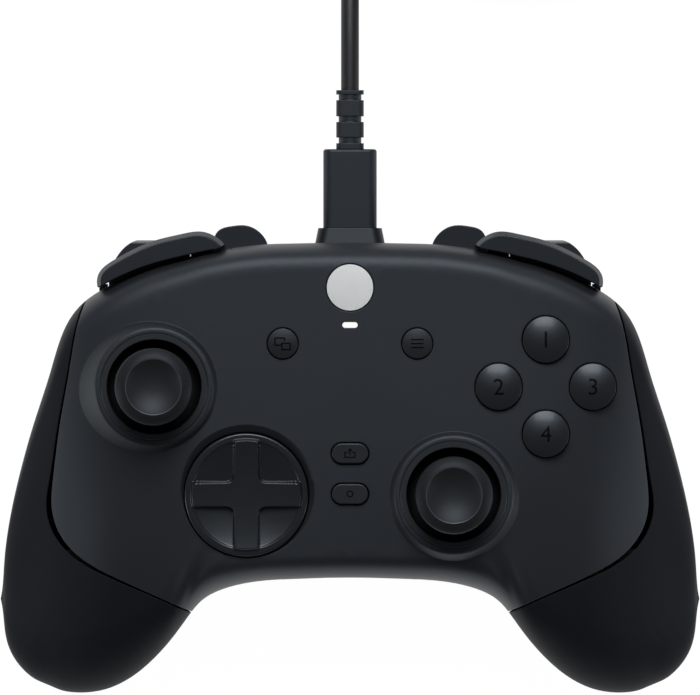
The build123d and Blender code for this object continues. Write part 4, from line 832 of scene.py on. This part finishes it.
def knurl_tree():
    """Rings of small teeth on a sloping ring, turned by half a tooth from ring to ring."""
    tree = bpy.data.node_groups.new("knurl", "GeometryNodeTree")
    recipe = Recipe(tree)
    tree.interface.new_socket(name="Geometry", in_out="OUTPUT", socket_type="NodeSocketGeometry")
    for words, kind in ((knurl_numbers, "Float"), (knurl_counts, "Int"), (("Finish",), "Material")):
        for word in words:
            tree.interface.new_socket(name=word, in_out="INPUT", socket_type=f"NodeSocket{kind}")
    given = recipe.node("NodeGroupInput")
    value = {socket.name: Value(recipe, socket) for socket in given.outputs if socket.name}

    line = recipe.node("GeometryNodePoints", None, {"Count": value["Rows"] * value["Teeth"]})
    index = Value(recipe, recipe.node("GeometryNodeInputIndex").outputs[0])
    row = (index / value["Teeth"]).math("FLOOR")
    place = index - row * value["Teeth"]
    bearing = (place + 0.5 * row) * full_turn / value["Teeth"]
    share = (row + 0.5) / value["Rows"]
    width = value["Outer Radius"] - value["Inner Radius"]
    radius = value["Inner Radius"] + share * width
    bend = share.math("POWER", share, value["Slope Power"])
    spot = recipe.node("ShaderNodeCombineXYZ", None, {
        0: value["Middle X"] + radius * bearing.math("COSINE"),
        1: value["Middle Y"] + radius * bearing.math("SINE"),
        2: value["Top"] - bend * value["Fall"],
    })
    moved = recipe.node("GeometryNodeSetPosition", None, {
        "Geometry": line.outputs[0], "Position": spot.outputs[0],
    })
    tooth = recipe.node("GeometryNodeMeshCone", {"fill_type": "NONE"}, {
        "Vertices": 4, "Radius Bottom": value["Tooth"], "Radius Top": 0.0, "Depth": value["Tooth Height"],
    })
    lean = width.math("ARCTAN2", value["Fall"], width)
    turn = recipe.node("ShaderNodeCombineXYZ", None, {1: lean, 2: bearing})
    spread = recipe.node("GeometryNodeInstanceOnPoints", None, {
        "Points": moved.outputs[0], "Instance": tooth.outputs[0], "Rotation": turn.outputs[0],
    })
    real = recipe.node("GeometryNodeRealizeInstances", None, {0: spread.outputs[0]})
    done = recipe.node("GeometryNodeSetMaterial", None, {
        "Geometry": real.outputs[0], "Material": value["Finish"],
    })
    recipe.node("NodeGroupOutput", None, {0: done.outputs[0]})
    return tree


def grown(name, tree, inputs):
    """The plain mesh that a node tree makes from these inputs."""
    holder = link(bpy.data.objects.new(name, bpy.data.meshes.new(name)))
    modifier = holder.modifiers.new(name, "NODES")
    modifier.node_group = tree
    for item in tree.interface.items_tree:
        if item.in_out == "INPUT":
            modifier[item.identifier] = inputs[item.name]
    return plain_mesh(holder)


def build_cap(sizes, side):
    """A thumb cap with its neck and skirt: plain rubber, a lip band in a lighter colour as a painted
    highlight, and the slope of the knurl.
    """
    node = f"{side}_thumb_cap"
    middle, top = middle_of(node), top_of(node)
    shape = bmesh.new()
    lathe(shape, middle, cap_profile(sizes, top), sizes.steps)
    cap = finished(f"{side}_stick_cap", shape, "rubber", f"{side}_stick", (node,), cap_angle)
    cap.data.materials.append(finishes["lip"])
    cap.data.materials.append(finishes["knurl"])
    # The narrow band just past the dish takes the lighter lip colour as a painted highlight; the slope
    # beyond takes the knurl finish
    for face in cap.data.polygons:
        away = math.hypot(face.center.x - middle.x, face.center.y - middle.y)
        if away > sizes.dish_radius and face.center.z > top - sizes.cap_thickness / 2:
            face.material_index = 1 if away < sizes.dish_radius + lip_of(sizes) / 2 else 2


def build_knurl(sizes, side, tree):
    """The ring of teeth on a thumb cap."""
    node = f"{side}_thumb_cap"
    middle, lip = middle_of(node), lip_of(sizes)
    mesh = grown(f"{side}_knurl", tree, {
        "Inner Radius": sizes.dish_radius + lip,
        "Outer Radius": sizes.cap_radius - lip / 2,
        "Top": top_of(node) - lip / 2,
        "Fall": slope_fall(sizes),
        "Slope Power": sizes.slope_power,
        "Tooth": sizes.tooth,
        "Tooth Height": sizes.tooth_height,
        "Middle X": middle.x,
        "Middle Y": middle.y,
        "Rows": sizes.rows,
        "Teeth": sizes.teeth,
        "Finish": finishes["knurl"],
    })
    knurl = link(bpy.data.objects.new(f"{side}_stick_knurl", mesh))
    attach(knurl, f"{side}_stick")


def build_sticks(sizes):
    tree = knurl_tree()
    for side in ("left", "right"):
        build_cap(sizes, side)
        build_knurl(sizes, side, tree)
        repainted(f"{side}_stick_shaft", "steel")
        repainted(f"{side}_stick_yoke", "inner")
        repainted(f"{side}_stick_rocker", "inner")
    repainted("stick_gate_rings", "gate")


# Buttons


def smooth_step(value, low, high):
    """Rises smoothly from 0 to 1 between two values."""
    share = min(max((value - low) / (high - low), 0.0), 1.0)
    return share * share * (3 - 2 * share)


def pad_height(sizes, tip):
    """A function that gives the height of the pad's face at any place: rim, dish and raised cross."""
    rim = tip - sizes.rim_drop
    soft = sizes.side_run

    def height(x, y):
        away = math.hypot(x, y)
        dish = rim - sizes.dish_depth * (1 - min(away / sizes.dish_radius, 1.0) ** 2)
        dish -= soft * smooth_step(sizes.dish_radius - away, -soft / 2, soft) / 2
        first = abs(x) - sizes.arm_width / 2
        second = abs(y) - sizes.arm_width / 2
        blend = max(sizes.corner - abs(first - second), 0.0) / sizes.corner
        outside = min(first, second) - blend * blend * sizes.corner / 4
        inside = 1 - smooth_step(outside, -soft / 2, soft / 2)
        cross = tip - sizes.arm_dip * (1 - min(away / sizes.dish_radius, 1.0) ** 2)
        cross -= (cross - rim) * smooth_step(away, sizes.dish_radius - soft / 2, sizes.dish_radius + soft)
        edge = smooth_step(away, sizes.radius - soft, sizes.radius + soft)
        return dish + (cross - dish) * inside - soft * edge

    return height


def build_direction_pad(sizes):
    tip = top_of("dpad")
    face = pad_height(sizes, tip)
    profile = [(sizes.radius * ring / sizes.rings, face) for ring in range(sizes.rings + 1)]
    under = tip - sizes.rim_low
    middle = tip - sizes.ball_drop + sizes.ball_radius
    start = math.asin((under - middle) / sizes.ball_radius)
    profile.append((sizes.radius, under))
    profile += arc((0, middle), sizes.ball_radius, start, -quarter_turn, 20)
    shape = bmesh.new()
    lathe(shape, middle_of("dpad"), profile, sizes.steps)
    finished("direction_pad", shape, "gloss", "dpad", ("dpad",), pad_angle)
    repainted("dpad_pivot_cup", "inner")
    repainted("dpad_socket", "inner")


def dome_height(node, dome, flange):
    """A function that gives the height of a round button's dome at any place."""
    low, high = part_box(node)
    middle = (low + high) / 2
    radius = (high.x - low.x) / 2 - flange
    ball = (radius ** 2 + dome ** 2) / (2 * dome)

    def height(x, y):
        away = (x - middle.x) ** 2 + (y - middle.y) ** 2
        return high.z - ball + math.sqrt(max(ball ** 2 - away, 0.0))

    return height


def flat_height(node):
    """A function that gives the height of a flat button at any place."""
    top = top_of(node)
    return lambda x, y: top


def laid_on(shape, height, sizes):
    """Cuts a flat sign into a fine grid, lays it on a surface and gives it a thin edge."""
    low, high = span(shape.verts)
    for axis in (0, 1):
        normal = Vector((0, 0, 0))
        normal[axis] = 1
        cuts = int((high[axis] - low[axis]) / sizes.grain)
        for cut in range(1, cuts + 1):
            place = Vector(low)
            place[axis] += cut * sizes.grain
            geometry = shape.verts[:] + shape.edges[:] + shape.faces[:]
            bmesh.ops.bisect_plane(shape, geom=geometry, plane_co=place, plane_no=normal)
    bmesh.ops.triangulate(shape, faces=shape.faces)
    bmesh.ops.recalc_face_normals(shape, faces=shape.faces)
    if sum(face.normal.z for face in shape.faces) < 0:
        bmesh.ops.reverse_faces(shape, faces=shape.faces)
    top = list(shape.faces)
    sunk = bmesh.ops.extrude_face_region(shape, geom=top, use_keep_orig=True)
    lifted = {v for v in sunk["geom"] if isinstance(v, bmesh.types.BMVert)}
    for vert in shape.verts:
        base = height(vert.co.x, vert.co.y)
        vert.co.z = base + (sizes.proud if vert in lifted else -sizes.proud)
    bmesh.ops.recalc_face_normals(shape, faces=shape.faces)


def text_shape(words, size, middle):
    """Flat faces of a short text, centred on a place."""
    data = bpy.data.curves.new("words", "FONT")
    data.body = words
    data.size = size
    data.align_x = "CENTER"
    data.align_y = "CENTER"
    data.resolution_u = 6
    shape = bmesh.new()
    shape.from_mesh(plain_mesh(link(bpy.data.objects.new("words", data))))
    bmesh.ops.remove_doubles(shape, verts=shape.verts, dist=merge_distance)
    low, high = span(shape.verts)
    move = Vector((middle.x, middle.y, 0)) - (low + high) / 2
    bmesh.ops.translate(shape, verts=shape.verts, vec=move)
    for vert in shape.verts:
        vert.co.z = 0
    return shape


least_mitre_share = 0.3


def ribbon(shape, spots, width, closed):
    """A flat line of even width through the spots, with mitred corners."""
    total = len(spots)
    legs = total if closed else total - 1
    ways = [(spots[(leg + 1) % total] - spots[leg]).normalized() for leg in range(legs)]
    normals = [Vector((-way.y, way.x, 0)) for way in ways]
    sides = []
    for index, spot in enumerate(spots):
        near = [normals[leg] for leg in (index - 1, index) if closed or 0 <= leg < legs]
        mitre = sum(near, Vector((0, 0, 0))).normalized()
        reach = width / 2 / max(mitre.dot(near[0]), least_mitre_share)
        sides.append((shape.verts.new(spot + mitre * reach), shape.verts.new(spot - mitre * reach)))
    pairs = list(zip(sides, sides[1:])) + ([(sides[-1], sides[0])] if closed else [])
    for first, second in pairs:
        shape.faces.new((first[0], first[1], second[1], second[0]))


# Lines of each generic sign in shares of its unit, and whether each line closes
ring_share = 0.30
sign_shares = {
    "windows": (
        (((-0.10, -0.12), (-0.58, -0.12), (-0.58, 0.42), (0.14, 0.42), (0.14, 0.18)), False),
        (((-0.06, -0.46), (0.56, -0.46), (0.56, 0.02), (-0.06, 0.02)), True),
    ),
    "lines": [(((-0.48, row), (0.48, row)), False) for row in (-0.30, 0.0, 0.30)],
    "tray": (
        (((-0.26, 0.10), (-0.52, 0.10), (-0.52, -0.40), (0.52, -0.40), (0.52, 0.10), (0.26, 0.10)), False),
        (((0.0, -0.16), (0.0, 0.40)), False),
        (((-0.20, 0.24), (0.0, 0.46), (0.20, 0.24)), False),
    ),
    "ring": ((arc((0, 0), ring_share, 0, full_turn, 32)[:-1], True),),
}
round_signs = {"view_button": "windows", "menu_button": "lines"}
pill_signs = {"share_button": "tray", "profile_button": "ring"}


def build_sign(node, kind, unit, stroke, height, sizes):
    """A small button's finish, and its sign laid on its face."""
    repainted(node, "small")
    middle = middle_of(node)
    shape = bmesh.new()
    for shares, closed in sign_shares[kind]:
        spots = [Vector((middle.x + across * unit, middle.y + along * unit, 0)) for across, along in shares]
        ribbon(shape, spots, stroke, closed)
    laid_on(shape, height, sizes)
    finished(f"{node}_sign", shape, "sign", body_of(node))


def build_face_buttons(sizes):
    for digit, word in enumerate(("top", "left", "right", "bottom"), start=1):
        node = f"{word}_face_button"
        repainted(node, "button")
        shape = text_shape(str(digit), sizes.digit_height / sizes.digit_share, middle_of(node))
        laid_on(shape, dome_height(node, sizes.face_dome, sizes.flange), sizes)
        finished(f"{word}_button_number", shape, "digit", body_of(node))


def build_small_buttons(sizes):
    for node, kind in round_signs.items():
        height = dome_height(node, sizes.small_dome, sizes.flange)
        build_sign(node, kind, sizes.round_sign, sizes.stroke, height, sizes)
    for node, kind in pill_signs.items():
        stroke = sizes.stroke * sizes.pill_stroke_share
        build_sign(node, kind, sizes.pill_sign, stroke, flat_height(node), sizes)


def build_home_button():
    repainted("home_button", "pale")
    repainted("status_light_lens", "glow")


# Edge and rear controls


def build_edge_controls():
    for side in ("left", "right"):
        for word in ("bumper", "claw_button", "trigger"):
            repainted(f"{side}_{word}", "bumper")
    repainted("trigger_springs", "spring")
    repainted("hinge_pins", "steel")


def build_rear_controls():
    for side in ("left", "right"):
        repainted(f"{side}_upper_rear_button", "small")
        repainted(f"{side}_lower_rear_button", "small")
        repainted(f"{side}_trigger_stop", "bumper")


# Sockets, plugs and inner works


def build_sockets():
    repainted("port_surround", "dark")
    repainted("usb_receptacle", "steel")
    repainted("headset_jack", "dark")


def build_plugs():
    repainted("cable_plug", "plug")
    repainted("strain_relief", "plug")
    repainted("far_end_plug", "plug")
    repainted("plug_shells", "steel")
    repainted("cable_strap", "tie")


inner_finishes = {
    "steel": ("case_screws", "rumble_motors"),
    "weight": ("left_rumble_weight", "right_rumble_weight"),
    "inner": ("mid_frame", "stick_housings", "button_switches"),
    "board": ("main_board",),
}


def build_inner_works():
    for finish, nodes in inner_finishes.items():
        for node in nodes:
            repainted(node, finish)


# Operators, one for each group of pieces, and the panel that lists them


class GAMEPAD_OT_finishes(bpy.types.Operator):
    """Make every finish of the gamepad"""

    bl_idname = "gamepad.finishes"
    bl_label = "Finishes"

    def execute(self, context):
        finishes.update(make_finishes(context.scene.gamepad_finishes))
        return {"FINISHED"}


class GAMEPAD_OT_studio(bpy.types.Operator):
    """Set up the camera over the face, the pale floor and the soft lamps"""

    bl_idname = "gamepad.studio"
    bl_label = "Studio"

    def execute(self, context):
        build_studio(context.scene.gamepad_studio)
        return {"FINISHED"}


class GAMEPAD_OT_cable(bpy.types.Operator):
    """Lay the cable from its strain relief into its coil and on to the far plug"""

    bl_idname = "gamepad.cable"
    bl_label = "Cable"

    def execute(self, context):
        build_plugs()
        build_cable(context.scene.gamepad_cable)
        return {"FINISHED"}


class GAMEPAD_OT_covers(bpy.types.Operator):
    """Finish the face plate, the grips and the rear"""

    bl_idname = "gamepad.covers"
    bl_label = "Covers"

    def execute(self, context):
        build_covers()
        return {"FINISHED"}


class GAMEPAD_OT_sticks(bpy.types.Operator):
    """Turn the two thumb caps with their knurled rings"""

    bl_idname = "gamepad.sticks"
    bl_label = "Thumb sticks"

    def execute(self, context):
        build_sticks(context.scene.gamepad_sticks)
        return {"FINISHED"}


class GAMEPAD_OT_direction_pad(bpy.types.Operator):
    """Finish the direction pad and what it rocks on"""

    bl_idname = "gamepad.direction_pad"
    bl_label = "Direction pad"

    def execute(self, context):
        build_direction_pad(context.scene.gamepad_pad)
        return {"FINISHED"}


class GAMEPAD_OT_face_buttons(bpy.types.Operator):
    """Finish the four face buttons and lay a number on each"""

    bl_idname = "gamepad.face_buttons"
    bl_label = "Face buttons"

    def execute(self, context):
        build_face_buttons(context.scene.gamepad_signs)
        return {"FINISHED"}


class GAMEPAD_OT_small_buttons(bpy.types.Operator):
    """Finish the small buttons and lay a plain sign on each"""

    bl_idname = "gamepad.small_buttons"
    bl_label = "Small buttons"

    def execute(self, context):
        build_small_buttons(context.scene.gamepad_signs)
        return {"FINISHED"}


class GAMEPAD_OT_home_button(bpy.types.Operator):
    """Finish the home button and the status light under it"""

    bl_idname = "gamepad.home_button"
    bl_label = "Home button and light"

    def execute(self, context):
        build_home_button()
        return {"FINISHED"}


class GAMEPAD_OT_edge_controls(bpy.types.Operator):
    """Finish the bumpers, claw buttons and triggers"""

    bl_idname = "gamepad.edge_controls"
    bl_label = "Bumpers and triggers"

    def execute(self, context):
        build_edge_controls()
        return {"FINISHED"}


class GAMEPAD_OT_rear_controls(bpy.types.Operator):
    """Finish the buttons and trigger stops at the rear"""

    bl_idname = "gamepad.rear_controls"
    bl_label = "Rear controls"

    def execute(self, context):
        build_rear_controls()
        return {"FINISHED"}


class GAMEPAD_OT_sockets(bpy.types.Operator):
    """Finish the cable socket and the headset jack"""

    bl_idname = "gamepad.sockets"
    bl_label = "Sockets"

    def execute(self, context):
        build_sockets()
        return {"FINISHED"}


class GAMEPAD_OT_inner_works(bpy.types.Operator):
    """Finish the board, switches, motors and frame inside the case"""

    bl_idname = "gamepad.inner_works"
    bl_label = "Inner works"

    def execute(self, context):
        build_inner_works()
        return {"FINISHED"}


operators = (
    GAMEPAD_OT_finishes,
    GAMEPAD_OT_studio,
    GAMEPAD_OT_cable,
    GAMEPAD_OT_covers,
    GAMEPAD_OT_sticks,
    GAMEPAD_OT_direction_pad,
    GAMEPAD_OT_face_buttons,
    GAMEPAD_OT_small_buttons,
    GAMEPAD_OT_home_button,
    GAMEPAD_OT_edge_controls,
    GAMEPAD_OT_rear_controls,
    GAMEPAD_OT_sockets,
    GAMEPAD_OT_inner_works,
)


class GAMEPAD_PT_panel(bpy.types.Panel):
    """Lists the gamepad's sizes and pieces in the sidebar"""

    bl_idname = "GAMEPAD_PT_panel"
    bl_label = "Gamepad"
    bl_space_type = "VIEW_3D"
    bl_region_type = "UI"
    bl_category = "Gamepad"

    def draw(self, context):
        for word, group in settings_groups.items():
            box = self.layout.box()
            for name in group.__annotations__:
                box.prop(getattr(context.scene, word), name)
        for kind in operators:
            self.layout.operator(kind.bl_idname)


def register():
    for kind in (*settings_groups.values(), *operators, GAMEPAD_PT_panel):
        bpy.utils.register_class(kind)
    for word, group in settings_groups.items():
        setattr(bpy.types.Scene, word, bpy.props.PointerProperty(type=group))


def unregister():
    for word in settings_groups:
        delattr(bpy.types.Scene, word)
    for kind in (GAMEPAD_PT_panel, *reversed(operators), *settings_groups.values()):
        bpy.utils.unregister_class(kind)


def main():
    register()
    for kind in operators:
        word = kind.bl_idname.split(".")[1]
        getattr(bpy.ops.gamepad, word)()


if __name__ == "__main__":
    main()
